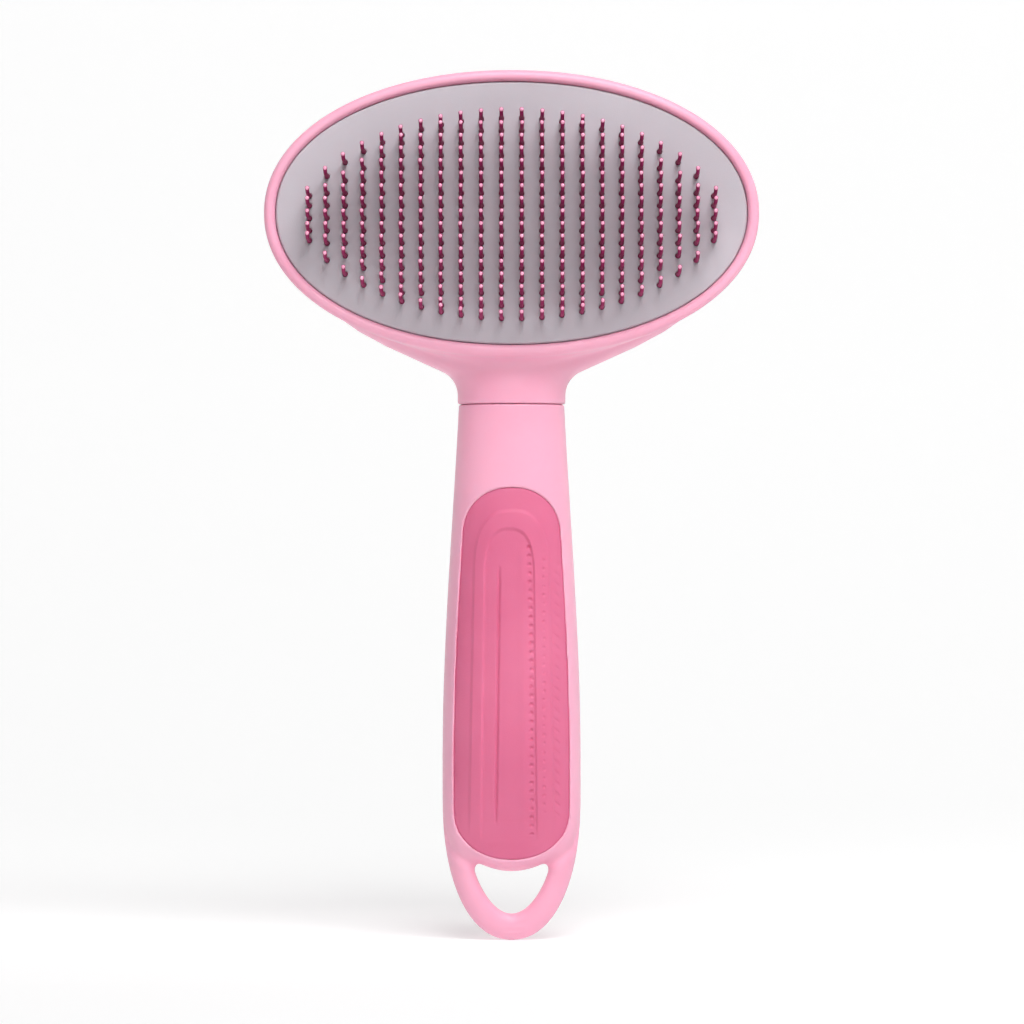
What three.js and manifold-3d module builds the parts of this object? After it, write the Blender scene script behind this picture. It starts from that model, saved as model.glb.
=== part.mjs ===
// Oval slicker brush that cleans itself: rows of pins stand in a base plate, and a face plate
// slides out along them when the thumb button on the back of the head is pressed.
// Millimetres. +X is the brush's right, +Y its back, +Z up the handle towards the head.
// The origin is the middle of the hand grip. Heights in the constants count from the loop's foot.
import * as THREE from 'three';
import { mergeVertices } from 'three/addons/utils/BufferGeometryUtils.js';
import Module from 'manifold-3d';

const wasm = await Module();
wasm.setup();

// ---------------------------------------------------------------- driving dimensions
const LENGTH = 200;
const GRIP_CENTRE = 62; // height of the origin

const PART_LINE = 0.05; // half the gap where front and back shells meet, on the plane y = 0
const FIT_GAP = 0.3; // between a piece and the recess that holds it
const TOUCH_GAP = 0.1; // between two pieces that are screwed or pressed together
const PILOT_GAP = 0.15; // between a screw's core and the hole it cuts its thread in
const OVERCUT = 1; // how far a cutting shape passes the face it opens

// Head: a superellipse seen from the front.
const HEAD_HALF_WIDTH = 56.5;
const HEAD_HALF_HEIGHT = 32.6;
const HEAD_POWER = 2.08;
const HEAD_CENTRE = LENGTH - HEAD_HALF_HEIGHT;
const RIM_FRONT = -15;
const BEAD_RADIUS = 1.3;
const HEAD_BACK = 15;
const HEAD_WALL = 1.8;
const DRAFT = 1.5; // how far the side wall leans in between the rim and the parting plane
const DOME_REACH = 24; // how far in from the side wall the back cover turns flat
const DOME_POWER = 3;
const POCKET_INSET = 2.5; // the opening in the rim, in from the head's outline
const PLATE_INSET = 3.0;

// Neck, which flares into the head.
const SEAM_HEIGHT = 123.9; // where the head's neck meets the handle
const NECK_HALF_WIDTH = 12.5;
const NECK_HALF_DEPTH = 10.2;
const FLARE_START = 126;
const FLARE_RADIUS = 6;
const FLARE_ANGLE = 65; // degrees turned by the flare's arc
const FLARE_TOP = [ // where the flare runs on into the head's side
  { halfWidth: 37.5, height: 141.5 },
  { halfWidth: 41.6, height: 144.2 },
  { halfWidth: 45.5, height: 150 },
];
const CROSS_POWER = 2.4; // squareness of the neck's and the handle's cross-sections
const FLARE_SWELL = 0.6; // how much deeper the neck is where it enters the head
const TENON_TOP = 135.7;
const TENON_INSET = 2.4;
const NECK_SCREW = { height: 130, holeRadius: 1.2, tip: 2 };

// Handle.
const HANDLE_HALF_WIDTH = 16;
const HANDLE_TOP_HALF_WIDTH = 12.2;
const HANDLE_HALF_DEPTH = 12.3;
const LOOP_HALF_DEPTH = 4.5;
const FOOT_CENTRE = 33; // below this the outline closes in a half superellipse
const FOOT_POWER = 2.2;
const FOOT_DEPTH_POWER = 6; // squareness of the foot seen from the side
const FOOT_CUT = 0.25; // the foot's last sliver, left off so that it ends in a face
const WAIST_START = 42; // above this the handle narrows towards the neck
const WAIST_SLOPE = -4.1; // slope of its edge at the seam, over the whole waist
const DEEPEST = 48;
const HANDLE_WALL = 4;
const CAVITY = { bottom: 26, top: 118 };

// Soft grips, one in front and one behind, let into the handle.
const GRIP = { bottom: 19.1, top: 104.7, frame: 2.75, endRadius: 10.4 };
const GRIP_PAD = { recess: 0.35, thickness: 1.7, nearest: 3 }; // nearest to the parting plane

// Hanging loop: a kidney-shaped hole.
const EYE = { bottom: 6.1, top: 17.6, halfWidth: 8.5, sag: 1.5, corner: 1.6, taper: 1.17 };

// Pins: columns stand side by side across the head.
const COLUMN_PITCH = 4.62;
const COLUMN_CROWDING = 0.002; // the outer columns stand a little closer together
const PINS_PER_COLUMN = [17, 17, 17, 17, 15, 15, 13, 11, 9, 7, 5]; // from the middle out
const PIN_PITCH = 2.85;
const PIN_SIZE = 0.7;
const PIN_HOLE = 1.2;
const PIN_TIP = -26.5;
const FIELD_CENTRE = 166.2;
const FIELD_HALF_WIDTH = 48.2;
const FIELD_HALF_HEIGHT = 22.9;
const FIELD_POWER = 0.6;

// Plates, front to back.
const FACE_PLATE = { front: -14, back: -12 };
const BASE_PLATE = { front: -11.6, back: -8.6, groove: 1.6, screwSeat: 1.3, springPeg: 2.4 };
const COLUMN_STRIP = 1.2; // thickness of the strip that joins a column's pins
const LEDGE = { front: -8.5, back: -7, inset: 5.5, root: 0.4 }; // root is how far it enters the wall
const CARRIER = { front: 3.6, back: 5.4, armWidth: 5, earRadius: 2.5, springHole: 4.4 };

// Ejector.
// The posts' z counts from the middle of the pins.
const POST = { x: 30, z: 19.65, radius: 1.8, pilotRadius: 0.9, pilotDepth: 8 };
const BUTTON = { halfWidth: 17, halfHeight: 11, power: 2.4, top: 25.5, wall: 1.8, roof: 2.2, edge: 1.2 };
const BUTTON_FLANGE = { width: 2, thickness: 1.5 };
const BUTTON_GAP = 0.5;
const SPRING = { x: 8, radius: 3, wire: 0.8, turns: 7, stepsPerTurn: 8, sides: 4 };

// Screws.
const HEAD_SCREW = {
  x: 45.5, z: 9, headRadius: 2.2, shaftRadius: 0.95, headFront: 6.1, headBack: 8, tip: -5,
};
const PLATE_SCREW = { x: 38, z: 17.3, headRadius: 2.1, shaftRadius: 0.95, tip: -3.5 };
const CARRIER_SCREW = { headRadius: 1.9, shaftRadius: 0.75, headThickness: 1, length: 7, holeRadius: 1.2 };
const HANDLE_SCREW = { heights: [92, 40], tip: -6 };
const SMALL_HEAD = { radius: 2.1, thickness: 1.1 };
const BOSS_RADIUS = 3.2;
const BOSS_INSET = 1; // how far a handle boss stops short of the screw's seat
const BOSS_COLLAR = 1.5; // how far a head boss rises round its screw's head

// Smoothness of the round shapes.
const HEAD_SEGMENTS = 44;
const HANDLE_SEGMENTS = 24;
const ROUND_SEGMENTS = 10;
const SMALL_SEGMENTS = 6;
const ARC_STEPS = 4; // rings in the head's rim and in its dome
const FLARE_STEPS = 3;
const FOOT_STEPS = 7;
const HANDLE_STEPS = 5;
const EYE_STEPS = 6; // in each half of the eye's tapering bottom
const GRIP_STEPS = 5; // in each end of a grip's outline, and between them

// ---------------------------------------------------------------- colours
const LIGHT_PINK = { color: 0xf3b4c8, roughness: 0.38, metalness: 0 };
const GRIP_PINK = { color: 0xe685a3, roughness: 0.62, metalness: 0 };
const PLATE_GREY = { color: 0xb9b1b9, roughness: 0.45, metalness: 0 };
const PIN_PINK = { color: 0xa84a74, roughness: 0.3, metalness: 0 };
const INNER_WHITE = { color: 0xe4dede, roughness: 0.55, metalness: 0 };
const STEEL = { color: 0xb4b6ba, roughness: 0.32, metalness: 1 };

// ---------------------------------------------------------------- helpers
/** A height above the loop's foot as a z value. */
function up(height) {
  return height - GRIP_CENTRE;
}

/** Points round a superellipse, as [u, v] pairs. */
function superellipse(halfWidth, halfHeight, power, count) {
  const points = [];
  for (let i = 0; i < count; i += 1) {
    const angle = (i / count) * 2 * Math.PI;
    const c = Math.cos(angle);
    const s = Math.sin(angle);
    const u = halfWidth * Math.sign(c) * Math.abs(c) ** (2 / power);
    const v = halfHeight * Math.sign(s) * Math.abs(s) ** (2 / power);
    points.push([u, v]);
  }
  return points;
}

/** Six times the signed volume inside a triangle mesh. */
function signedVolume(positions, index) {
  const corner = (n) => new THREE.Vector3().fromArray(positions, index[n] * 3);
  let sum = 0;
  for (let n = 0; n < index.length; n += 3) {
    sum += corner(n).dot(corner(n + 1).cross(corner(n + 2)));
  }
  return sum;
}

/** A closed skin over a list of rings with the same number of points, with flat ends. */
function loft(rings) {
  const count = rings[0].length;
  const positions = rings.flat(2);
  const index = [];
  for (let r = 0; r + 1 < rings.length; r += 1) {
    for (let i = 0; i < count; i += 1) {
      const a = r * count + i;
      const b = r * count + ((i + 1) % count);
      index.push(a, b, a + count);
      index.push(b, b + count, a + count);
    }
  }
  const last = (rings.length - 1) * count;
  for (let i = 1; i + 1 < count; i += 1) {
    index.push(0, i + 1, i);
    index.push(last, last + i, last + i + 1);
  }
  if (signedVolume(positions, index) < 0) {
    index.reverse();
  }
  const geometry = new THREE.BufferGeometry();
  geometry.setAttribute('position', new THREE.Float32BufferAttribute(positions, 3));
  geometry.setIndex(index);
  return geometry;
}

/** A Manifold solid from a closed geometry, for joining and cutting. */
function solid(geometry) {
  geometry.deleteAttribute('normal');
  geometry.deleteAttribute('uv');
  const merged = mergeVertices(geometry, 1e-4);
  return new wasm.Manifold(new wasm.Mesh({
    numProp: 3,
    vertProperties: new Float32Array(merged.attributes.position.array),
    triVerts: new Uint32Array(merged.index.array),
  }));
}

/** The geometry of a Manifold solid. */
function geometryOf(body) {
  const { vertProperties, triVerts } = body.getMesh();
  const geometry = new THREE.BufferGeometry();
  geometry.setAttribute('position', new THREE.BufferAttribute(vertProperties, 3));
  geometry.setIndex(new THREE.BufferAttribute(triVerts, 1));
  return geometry;
}

/** An outline in the X-Z plane, drawn out along Y between two depths. */
function prism(shape, front, back) {
  const geometry = new THREE.ExtrudeGeometry(shape, { depth: back - front, bevelEnabled: false });
  geometry.rotateX(Math.PI / 2);
  geometry.translate(0, back, 0);
  return geometry;
}

/** A closed outline from [x, z] pairs. */
function outline(points) {
  return new THREE.Shape(points.map(([x, z]) => new THREE.Vector2(x, z)));
}

/** A round bar along Y. */
function rod(x, z, radius, front, back, segments = ROUND_SEGMENTS) {
  const geometry = new THREE.CylinderGeometry(radius, radius, back - front, segments);
  return solid(geometry.translate(x, (front + back) / 2, z));
}

/** A rectangular block between two corners. */
function block(low, high) {
  const size = high.map((value, axis) => value - low[axis]);
  const middle = high.map((value, axis) => (value + low[axis]) / 2);
  return solid(new THREE.BoxGeometry(...size).translate(...middle));
}

const REACH = 150; // past every edge of the brush
const frontHalf = block([-REACH, -REACH, -REACH], [REACH, -PART_LINE, REACH]);
const backHalf = block([-REACH, PART_LINE, -REACH], [REACH, REACH, REACH]);

/** A pan-head screw along Y with its head towards +Y. */
function screw(x, z, size, headFront, headBack, tip) {
  const profile = [
    new THREE.Vector2(0, tip),
    new THREE.Vector2(size.shaftRadius, tip + size.shaftRadius),
    new THREE.Vector2(size.shaftRadius, headFront),
    new THREE.Vector2(size.headRadius, headFront),
    new THREE.Vector2(size.headRadius, headBack),
    new THREE.Vector2(0, headBack),
  ];
  return solid(new THREE.LatheGeometry(profile, SMALL_SEGMENTS).translate(x, 0, z));
}

const group = new THREE.Group();

/** Adds a finished piece to the brush. */
function addPiece(name, body, look) {
  const material = new THREE.MeshStandardMaterial(look);
  const mesh = new THREE.Mesh(geometryOf(body), material);
  mesh.name = name;
  group.add(mesh);
}

/** The four posts' heights, upper then lower, as z values. */
const postHeights = [up(FIELD_CENTRE) + POST.z, up(FIELD_CENTRE) - POST.z];

/** Calls make(x, z, n) at the four corners of a rectangle round a centre height. */
function atCorners(x, z, centre, make) {
  return [[-1, 1], [1, 1], [-1, -1], [1, -1]].map(
    ([sideways, upwards], n) => make(sideways * x, centre + upwards * z, n + 1),
  );
}

// ---------------------------------------------------------------- head
/** One ring of the head, in from its outline by inset, at depth y. */
function headRing(inset, y) {
  const halfWidth = HEAD_HALF_WIDTH - inset;
  const halfHeight = HEAD_HALF_HEIGHT - inset;
  const points = superellipse(halfWidth, halfHeight, HEAD_POWER, HEAD_SEGMENTS);
  return points.map(([x, z]) => [x, y, up(HEAD_CENTRE) + z]);
}

/** The head's outline as a flat shape, in from its edge by inset. */
function headShape(inset) {
  return outline(headRing(inset, 0).map(([x, , z]) => [x, z]));
}

/** Rings of the domed back, from the parting plane to the flat middle. */
function domeRings(inset, depth) {
  const rings = [];
  for (let step = 1; step <= ARC_STEPS; step += 1) {
    const angle = (step / ARC_STEPS) * (Math.PI / 2);
    const along = Math.max(Math.cos(angle), 0) ** (2 / DOME_POWER);
    const rise = Math.sin(angle) ** (2 / DOME_POWER);
    rings.push(headRing(inset + DOME_REACH * (1 - along), depth * rise));
  }
  return rings;
}

/** The head without its neck or hollow: rounded rim, drafted wall, domed back. */
function headBlank() {
  const rings = [];
  for (let step = 0; step <= ARC_STEPS; step += 1) {
    const angle = (step / ARC_STEPS) * Math.PI;
    const inset = BEAD_RADIUS * (1 + Math.cos(angle));
    rings.push(headRing(inset, RIM_FRONT + BEAD_RADIUS * (1 - Math.sin(angle))));
  }
  rings.push(headRing(DRAFT, 0));
  rings.push(...domeRings(DRAFT, HEAD_BACK));
  return solid(loft(rings));
}

/** One ring of the neck or handle: a superellipse across the handle at a height. */
function crossRing(halfWidth, halfDepth, height) {
  const points = superellipse(halfWidth, halfDepth, CROSS_POWER, HANDLE_SEGMENTS);
  return points.map(([x, y]) => [x, y, up(height)]);
}

/** The neck's flare, from the seam up into the head. */
function neckBlank() {
  const rings = [crossRing(NECK_HALF_WIDTH, NECK_HALF_DEPTH, SEAM_HEIGHT)];
  for (let step = 0; step <= FLARE_STEPS; step += 1) {
    const angle = THREE.MathUtils.degToRad((FLARE_ANGLE * step) / FLARE_STEPS);
    const halfWidth = NECK_HALF_WIDTH + FLARE_RADIUS * (1 - Math.cos(angle));
    rings.push(crossRing(halfWidth, NECK_HALF_DEPTH, FLARE_START + FLARE_RADIUS * Math.sin(angle)));
  }
  for (const { halfWidth, height } of FLARE_TOP) {
    rings.push(crossRing(halfWidth, NECK_HALF_DEPTH + FLARE_SWELL, height));
  }
  return solid(loft(rings));
}

/** The handle's tenon, or with a gap the socket for it, between two heights. */
function tenon(gap, bottom, top) {
  const halfWidth = HANDLE_TOP_HALF_WIDTH - TENON_INSET + gap;
  const halfDepth = NECK_HALF_DEPTH - TENON_INSET + gap;
  const rings = [bottom, top].map((height) => crossRing(halfWidth, halfDepth, height));
  return solid(loft(rings));
}

/** A straight oval hole or plug through the head. */
function headPlug(inset, front, back) {
  return solid(prism(headShape(inset), front, back));
}

/** The ledge inside the rim that the base plate is screwed down on. */
function plateLedge() {
  const opening = headPlug(LEDGE.inset, LEDGE.front - OVERCUT, LEDGE.back + OVERCUT);
  return headPlug(POCKET_INSET - LEDGE.root, LEDGE.front, LEDGE.back).subtract(opening);
}

/** The front of the head: rim, side wall, ledge, bosses and half of the neck. */
function makeHeadFront(blank, socket) {
  const pocket = headPlug(POCKET_INSET, RIM_FRONT - OVERCUT, OVERCUT);
  let front = blank.intersect(frontHalf).subtract(pocket).add(plateLedge());
  atCorners(HEAD_SCREW.x, HEAD_SCREW.z, up(HEAD_CENTRE), (x, z) => {
    const radius = HEAD_SCREW.shaftRadius + PILOT_GAP;
    front = front.add(rod(x, z, BOSS_RADIUS, LEDGE.front, -PART_LINE));
    front = front.subtract(rod(x, z, radius, HEAD_SCREW.tip - FIT_GAP, OVERCUT, SMALL_SEGMENTS));
  });
  atCorners(PLATE_SCREW.x, PLATE_SCREW.z, up(HEAD_CENTRE), (x, z) => {
    const radius = PLATE_SCREW.shaftRadius + PILOT_GAP;
    const end = PLATE_SCREW.tip + FIT_GAP;
    front = front.add(rod(x, z, BOSS_RADIUS, LEDGE.front, end + FIT_GAP));
    front = front.subtract(rod(x, z, radius, LEDGE.front - OVERCUT, end, SMALL_SEGMENTS));
  });
  for (const x of [-POST.x, POST.x]) {
    for (const z of postHeights) {
      const radius = POST.radius + BUTTON_GAP + 2 * FIT_GAP;
      front = front.subtract(rod(x, z, radius, LEDGE.front - OVERCUT, LEDGE.back + OVERCUT));
    }
  }
  addPiece('head_front_shell', front.subtract(socket), LIGHT_PINK);
}

/** The back of the head: a hollow dome with the button's opening, and half of the neck. */
function makeHeadBack(blank, socket) {
  const inset = DRAFT + HEAD_WALL;
  const hollow = solid(loft([
    headRing(inset, -OVERCUT),
    headRing(inset, 0),
    ...domeRings(inset, HEAD_BACK - HEAD_WALL),
  ]));
  let back = blank.intersect(backHalf).subtract(hollow).subtract(socket);
  atCorners(HEAD_SCREW.x, HEAD_SCREW.z, up(HEAD_CENTRE), (x, z) => {
    const well = HEAD_SCREW.headRadius + FIT_GAP;
    const hole = HEAD_SCREW.shaftRadius + FIT_GAP;
    back = back.add(rod(x, z, BOSS_RADIUS, PART_LINE, HEAD_SCREW.headBack + BOSS_COLLAR).intersect(blank));
    back = back.subtract(rod(x, z, well, HEAD_SCREW.headFront - TOUCH_GAP, HEAD_BACK));
    back = back.subtract(rod(x, z, hole, -OVERCUT, HEAD_BACK, SMALL_SEGMENTS));
  });
  const z = up(NECK_SCREW.height);
  const well = SMALL_HEAD.radius + FIT_GAP;
  back = back.subtract(buttonPrism(BUTTON_GAP, CARRIER.back, HEAD_BACK + OVERCUT));
  back = back.subtract(rod(0, z, NECK_SCREW.holeRadius, 0, HEAD_BACK));
  back = back.subtract(rod(0, z, well, NECK_HALF_DEPTH - SMALL_HEAD.thickness, HEAD_BACK));
  addPiece('head_back_cover', back, LIGHT_PINK);
}

function makeHead() {
  const blank = headBlank().add(neckBlank());
  const socket = tenon(FIT_GAP, SEAM_HEIGHT - OVERCUT, TENON_TOP + FIT_GAP);
  makeHeadFront(blank, socket);
  makeHeadBack(blank, socket);
  atCorners(HEAD_SCREW.x, HEAD_SCREW.z, up(HEAD_CENTRE), (x, z, n) => {
    const { headFront, headBack, tip } = HEAD_SCREW;
    addPiece(`head_screw_${n}`, screw(x, z, HEAD_SCREW, headFront, headBack, tip), STEEL);
  });
  const headFront = NECK_HALF_DEPTH - SMALL_HEAD.thickness + TOUCH_GAP;
  const headBack = headFront + SMALL_HEAD.thickness;
  const size = { headRadius: SMALL_HEAD.radius, shaftRadius: HEAD_SCREW.shaftRadius };
  const body = screw(0, up(NECK_SCREW.height), size, headFront, headBack, NECK_SCREW.tip);
  addPiece('neck_screw', body, STEEL);
}

// ---------------------------------------------------------------- bristle bed
/** Where column u stands across the head; u is a half-integer counted from the middle. */
function columnX(u) {
  return COLUMN_PITCH * u - COLUMN_CROWDING * u ** 3;
}

/** Heights of a column's pins from the middle of the field: an even row, and one pin at each end. */
function pinOffsets(u) {
  const count = PINS_PER_COLUMN[Math.abs(u) - 0.5];
  const across = Math.abs(columnX(u)) / FIELD_HALF_WIDTH;
  const end = FIELD_HALF_HEIGHT * (1 - across ** 2) ** FIELD_POWER;
  const inner = (count - 3) / 2;
  const offsets = [-end];
  for (let k = -inner; k <= inner; k += 1) {
    offsets.push(k * PIN_PITCH);
  }
  offsets.push(end);
  return offsets;
}

const columns = [];
for (let n = 0; n < 2 * PINS_PER_COLUMN.length; n += 1) {
  columns.push(n + 0.5 - PINS_PER_COLUMN.length);
}

/** One column: a strip with its pins standing on it, all as wide as one pin. */
function makeColumn(u, name) {
  const half = PIN_SIZE / 2;
  const foot = BASE_PLATE.front + BASE_PLATE.groove - TOUCH_GAP;
  const stripFront = foot - COLUMN_STRIP;
  const offsets = pinOffsets(u);
  const comb = new THREE.Shape();
  comb.moveTo(offsets[0] - half, foot);
  for (const offset of offsets) {
    if (offset !== offsets[0]) {
      comb.lineTo(offset - half, stripFront);
    }
    comb.lineTo(offset - half, PIN_TIP);
    comb.lineTo(offset + half, PIN_TIP);
    if (offset !== offsets.at(-1)) {
      comb.lineTo(offset + half, stripFront);
    }
  }
  comb.lineTo(offsets.at(-1) + half, foot);
  const geometry = new THREE.ExtrudeGeometry(comb, { depth: PIN_SIZE, bevelEnabled: false });
  // The comb is drawn with its length along X and its pins along Y; it is stood up along Z.
  geometry.rotateY(-Math.PI / 2);
  geometry.translate(columnX(u) + half, 0, up(FIELD_CENTRE));
  addPiece(name, solid(geometry), PIN_PINK);
}

/** The white plate behind the face plate that holds the columns in its grooves. */
function makeBasePlate() {
  const through = [BASE_PLATE.front - OVERCUT, BASE_PLATE.back + OVERCUT];
  let base = headPlug(PLATE_INSET + TOUCH_GAP, BASE_PLATE.front, BASE_PLATE.back);
  for (const u of columns) {
    const x = columnX(u);
    const halfGroove = PIN_SIZE / 2 + FIT_GAP;
    const reach = pinOffsets(u).at(-1) + halfGroove;
    base = base.subtract(block(
      [x - halfGroove, BASE_PLATE.front - OVERCUT, up(FIELD_CENTRE) - reach],
      [x + halfGroove, BASE_PLATE.front + BASE_PLATE.groove, up(FIELD_CENTRE) + reach],
    ));
  }
  for (const x of [-POST.x, POST.x]) {
    for (const z of postHeights) {
      base = base.subtract(rod(x, z, POST.radius + BUTTON_GAP, ...through));
    }
  }
  for (const x of [-SPRING.x, SPRING.x]) {
    const radius = SPRING.radius - SPRING.wire;
    const pegEnd = BASE_PLATE.back + BASE_PLATE.springPeg;
    base = base.add(rod(x, up(HEAD_CENTRE), radius, BASE_PLATE.back - OVERCUT, pegEnd));
  }
  atCorners(PLATE_SCREW.x, PLATE_SCREW.z, up(HEAD_CENTRE), (x, z) => {
    const seat = BASE_PLATE.front + BASE_PLATE.screwSeat;
    base = base.subtract(rod(x, z, PLATE_SCREW.headRadius + FIT_GAP, BASE_PLATE.front - OVERCUT, seat));
    base = base.subtract(rod(x, z, PLATE_SCREW.shaftRadius + FIT_GAP, ...through, SMALL_SEGMENTS));
  });
  addPiece('bristle_base_plate', base, INNER_WHITE);
}

function makeBristles() {
  makeBasePlate();
  columns.forEach((u, n) => makeColumn(u, `bristle_column_${String(n + 1).padStart(2, '0')}`));

  // These four screws go in from the front, so each is made backwards and turned round.
  const headFront = -(BASE_PLATE.front + BASE_PLATE.screwSeat) + TOUCH_GAP / 2;
  const headBack = -BASE_PLATE.front - TOUCH_GAP / 2;
  atCorners(PLATE_SCREW.x, PLATE_SCREW.z, up(HEAD_CENTRE), (x, z, n) => {
    const backwards = screw(-x, z, PLATE_SCREW, headFront, headBack, -PLATE_SCREW.tip);
    addPiece(`base_plate_screw_${n}`, backwards.rotate([0, 0, 180]), STEEL);
  });
}

// ---------------------------------------------------------------- ejector
/** The button's outline grown by a margin and drawn out along Y. */
function buttonPrism(margin, front, back) {
  const halfWidth = BUTTON.halfWidth + margin;
  const halfHeight = BUTTON.halfHeight + margin;
  const points = superellipse(halfWidth, halfHeight, BUTTON.power, HANDLE_SEGMENTS);
  return solid(prism(outline(points.map(([x, z]) => [x, z + up(HEAD_CENTRE)])), front, back));
}

/** The grey face plate with a square hole for every pin and four posts behind. */
function makeFacePlate() {
  let plate = headPlug(PLATE_INSET, FACE_PLATE.front, FACE_PLATE.back);
  const half = PIN_HOLE / 2;
  for (const u of columns) {
    for (const offset of pinOffsets(u)) {
      const x = columnX(u);
      const z = up(FIELD_CENTRE) + offset;
      plate = plate.subtract(block(
        [x - half, FACE_PLATE.front - OVERCUT, z - half],
        [x + half, FACE_PLATE.back + OVERCUT, z + half],
      ));
    }
  }
  for (const x of [-POST.x, POST.x]) {
    for (const z of postHeights) {
      const pilot = [CARRIER.front - POST.pilotDepth, CARRIER.front + OVERCUT];
      plate = plate.add(rod(x, z, POST.radius, FACE_PLATE.back - OVERCUT, CARRIER.front - TOUCH_GAP));
      plate = plate.subtract(rod(x, z, POST.pilotRadius, ...pilot, SMALL_SEGMENTS));
    }
  }
  addPiece('face_plate', plate, PLATE_GREY);
}

/** The spider behind the base plate that ties the four posts to the button. */
function makeCarrier() {
  const through = [CARRIER.front - OVERCUT, CARRIER.back + OVERCUT];
  const thickness = CARRIER.back - CARRIER.front;
  const middle = (CARRIER.front + CARRIER.back) / 2;
  let carrier = buttonPrism(BUTTON_FLANGE.width, CARRIER.front, CARRIER.back);
  const armLength = 2 * Math.hypot(POST.x, POST.z);
  const armAngle = Math.atan2(POST.z, POST.x);
  for (const angle of [armAngle, -armAngle]) {
    const arm = new THREE.BoxGeometry(armLength, thickness, CARRIER.armWidth).rotateY(angle);
    carrier = carrier.add(solid(arm.translate(0, middle, up(FIELD_CENTRE))));
  }
  for (const x of [-POST.x, POST.x]) {
    for (const z of postHeights) {
      carrier = carrier.add(rod(x, z, CARRIER.earRadius, CARRIER.front, CARRIER.back));
      carrier = carrier.subtract(rod(x, z, CARRIER_SCREW.holeRadius, ...through, SMALL_SEGMENTS));
    }
  }
  for (const x of [-SPRING.x, SPRING.x]) {
    carrier = carrier.subtract(rod(x, up(HEAD_CENTRE), CARRIER.springHole, ...through));
  }
  addPiece('button_carrier', carrier, INNER_WHITE);

  const headFront = CARRIER.back + TOUCH_GAP / 2;
  const headBack = headFront + CARRIER_SCREW.headThickness;
  const tip = CARRIER.front - CARRIER_SCREW.length;
  atCorners(POST.x, POST.z, up(FIELD_CENTRE), (x, z, n) => {
    addPiece(`carrier_screw_${n}`, screw(x, z, CARRIER_SCREW, headFront, headBack, tip), STEEL);
  });
}

/** The hollow thumb button, with a flange that is wider than its opening. */
function makeButton() {
  const front = CARRIER.back + TOUCH_GAP;
  const midEdge = BUTTON.edge * 0.3; // inset and drop of the rounded edge's middle ring
  const ring = (inset, y) => superellipse(
    BUTTON.halfWidth - inset,
    BUTTON.halfHeight - inset,
    BUTTON.power,
    HANDLE_SEGMENTS,
  ).map(([x, z]) => [x, y, z + up(HEAD_CENTRE)]);
  const cap = solid(loft([
    ring(0, front),
    ring(0, BUTTON.top - BUTTON.edge),
    ring(midEdge, BUTTON.top - midEdge),
    ring(BUTTON.edge, BUTTON.top),
  ]));
  const flange = buttonPrism(BUTTON_FLANGE.width, front, front + BUTTON_FLANGE.thickness);
  const hollow = buttonPrism(-BUTTON.wall, front - OVERCUT, BUTTON.top - BUTTON.roof);
  addPiece('thumb_button', cap.add(flange).subtract(hollow), GRIP_PINK);
}

/** A coil spring between the base plate and the inside of the button. */
function makeSpring(side, name) {
  const radius = SPRING.wire / 2;
  const start = BASE_PLATE.back + radius + TOUCH_GAP;
  const end = BUTTON.top - BUTTON.roof - radius - TOUCH_GAP;
  class Helix extends THREE.Curve {
    getPoint(t) {
      const angle = t * SPRING.turns * 2 * Math.PI;
      const x = side * SPRING.x + SPRING.radius * Math.cos(angle);
      const z = up(HEAD_CENTRE) + SPRING.radius * Math.sin(angle);
      return new THREE.Vector3(x, start + t * (end - start), z);
    }
  }
  const wire = outline(superellipse(radius, radius, 2, SPRING.sides));
  const geometry = new THREE.ExtrudeGeometry(wire, {
    steps: SPRING.turns * SPRING.stepsPerTurn,
    extrudePath: new Helix(),
  });
  addPiece(name, solid(geometry), STEEL);
}

// ---------------------------------------------------------------- handle
/** A cubic that leaves a with no slope and reaches b with the given slope, for t from 0 to 1. */
function ease(a, b, t, endSlope = 0) {
  const s = t * t * (3 - 2 * t);
  return a + (b - a) * s + endSlope * (t * t * t - t * t);
}

/** How far the outline has closed in towards the foot: 1 above the foot, 0 at its end. */
function footFactor(height, power) {
  const down = Math.max(0, (FOOT_CENTRE - height) / FOOT_CENTRE);
  return (1 - Math.min(down, 1) ** power) ** (1 / power);
}

function handleHalfWidth(height) {
  if (height < WAIST_START) {
    return HANDLE_HALF_WIDTH * footFactor(height, FOOT_POWER);
  }
  const t = (height - WAIST_START) / (SEAM_HEIGHT - WAIST_START);
  return ease(HANDLE_HALF_WIDTH, HANDLE_TOP_HALF_WIDTH, t, WAIST_SLOPE);
}

function handleHalfDepth(height) {
  if (height < DEEPEST) {
    const full = ease(HANDLE_HALF_DEPTH, LOOP_HALF_DEPTH, (DEEPEST - height) / DEEPEST);
    return full * footFactor(height, FOOT_DEPTH_POWER);
  }
  return ease(HANDLE_HALF_DEPTH, NECK_HALF_DEPTH, (height - DEEPEST) / (SEAM_HEIGHT - DEEPEST));
}

/** Heights of the handle's rings: close together round the foot, then evenly up to the top. */
function ringHeights(bottom, top) {
  const heights = [];
  for (let step = 0; step < FOOT_STEPS; step += 1) {
    const angle = (step / FOOT_STEPS) * (Math.PI / 2);
    heights.push(FOOT_CENTRE * (1 - Math.cos(angle)) + FOOT_CUT);
  }
  for (let step = 0; step <= HANDLE_STEPS; step += 1) {
    heights.push(FOOT_CENTRE + (step / HANDLE_STEPS) * (SEAM_HEIGHT - FOOT_CENTRE));
  }
  const closest = 1; // a ring nearer than this to either end is left out
  const between = heights.filter((height) => height > bottom + closest && height < top - closest);
  return [bottom, ...between, top];
}

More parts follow.
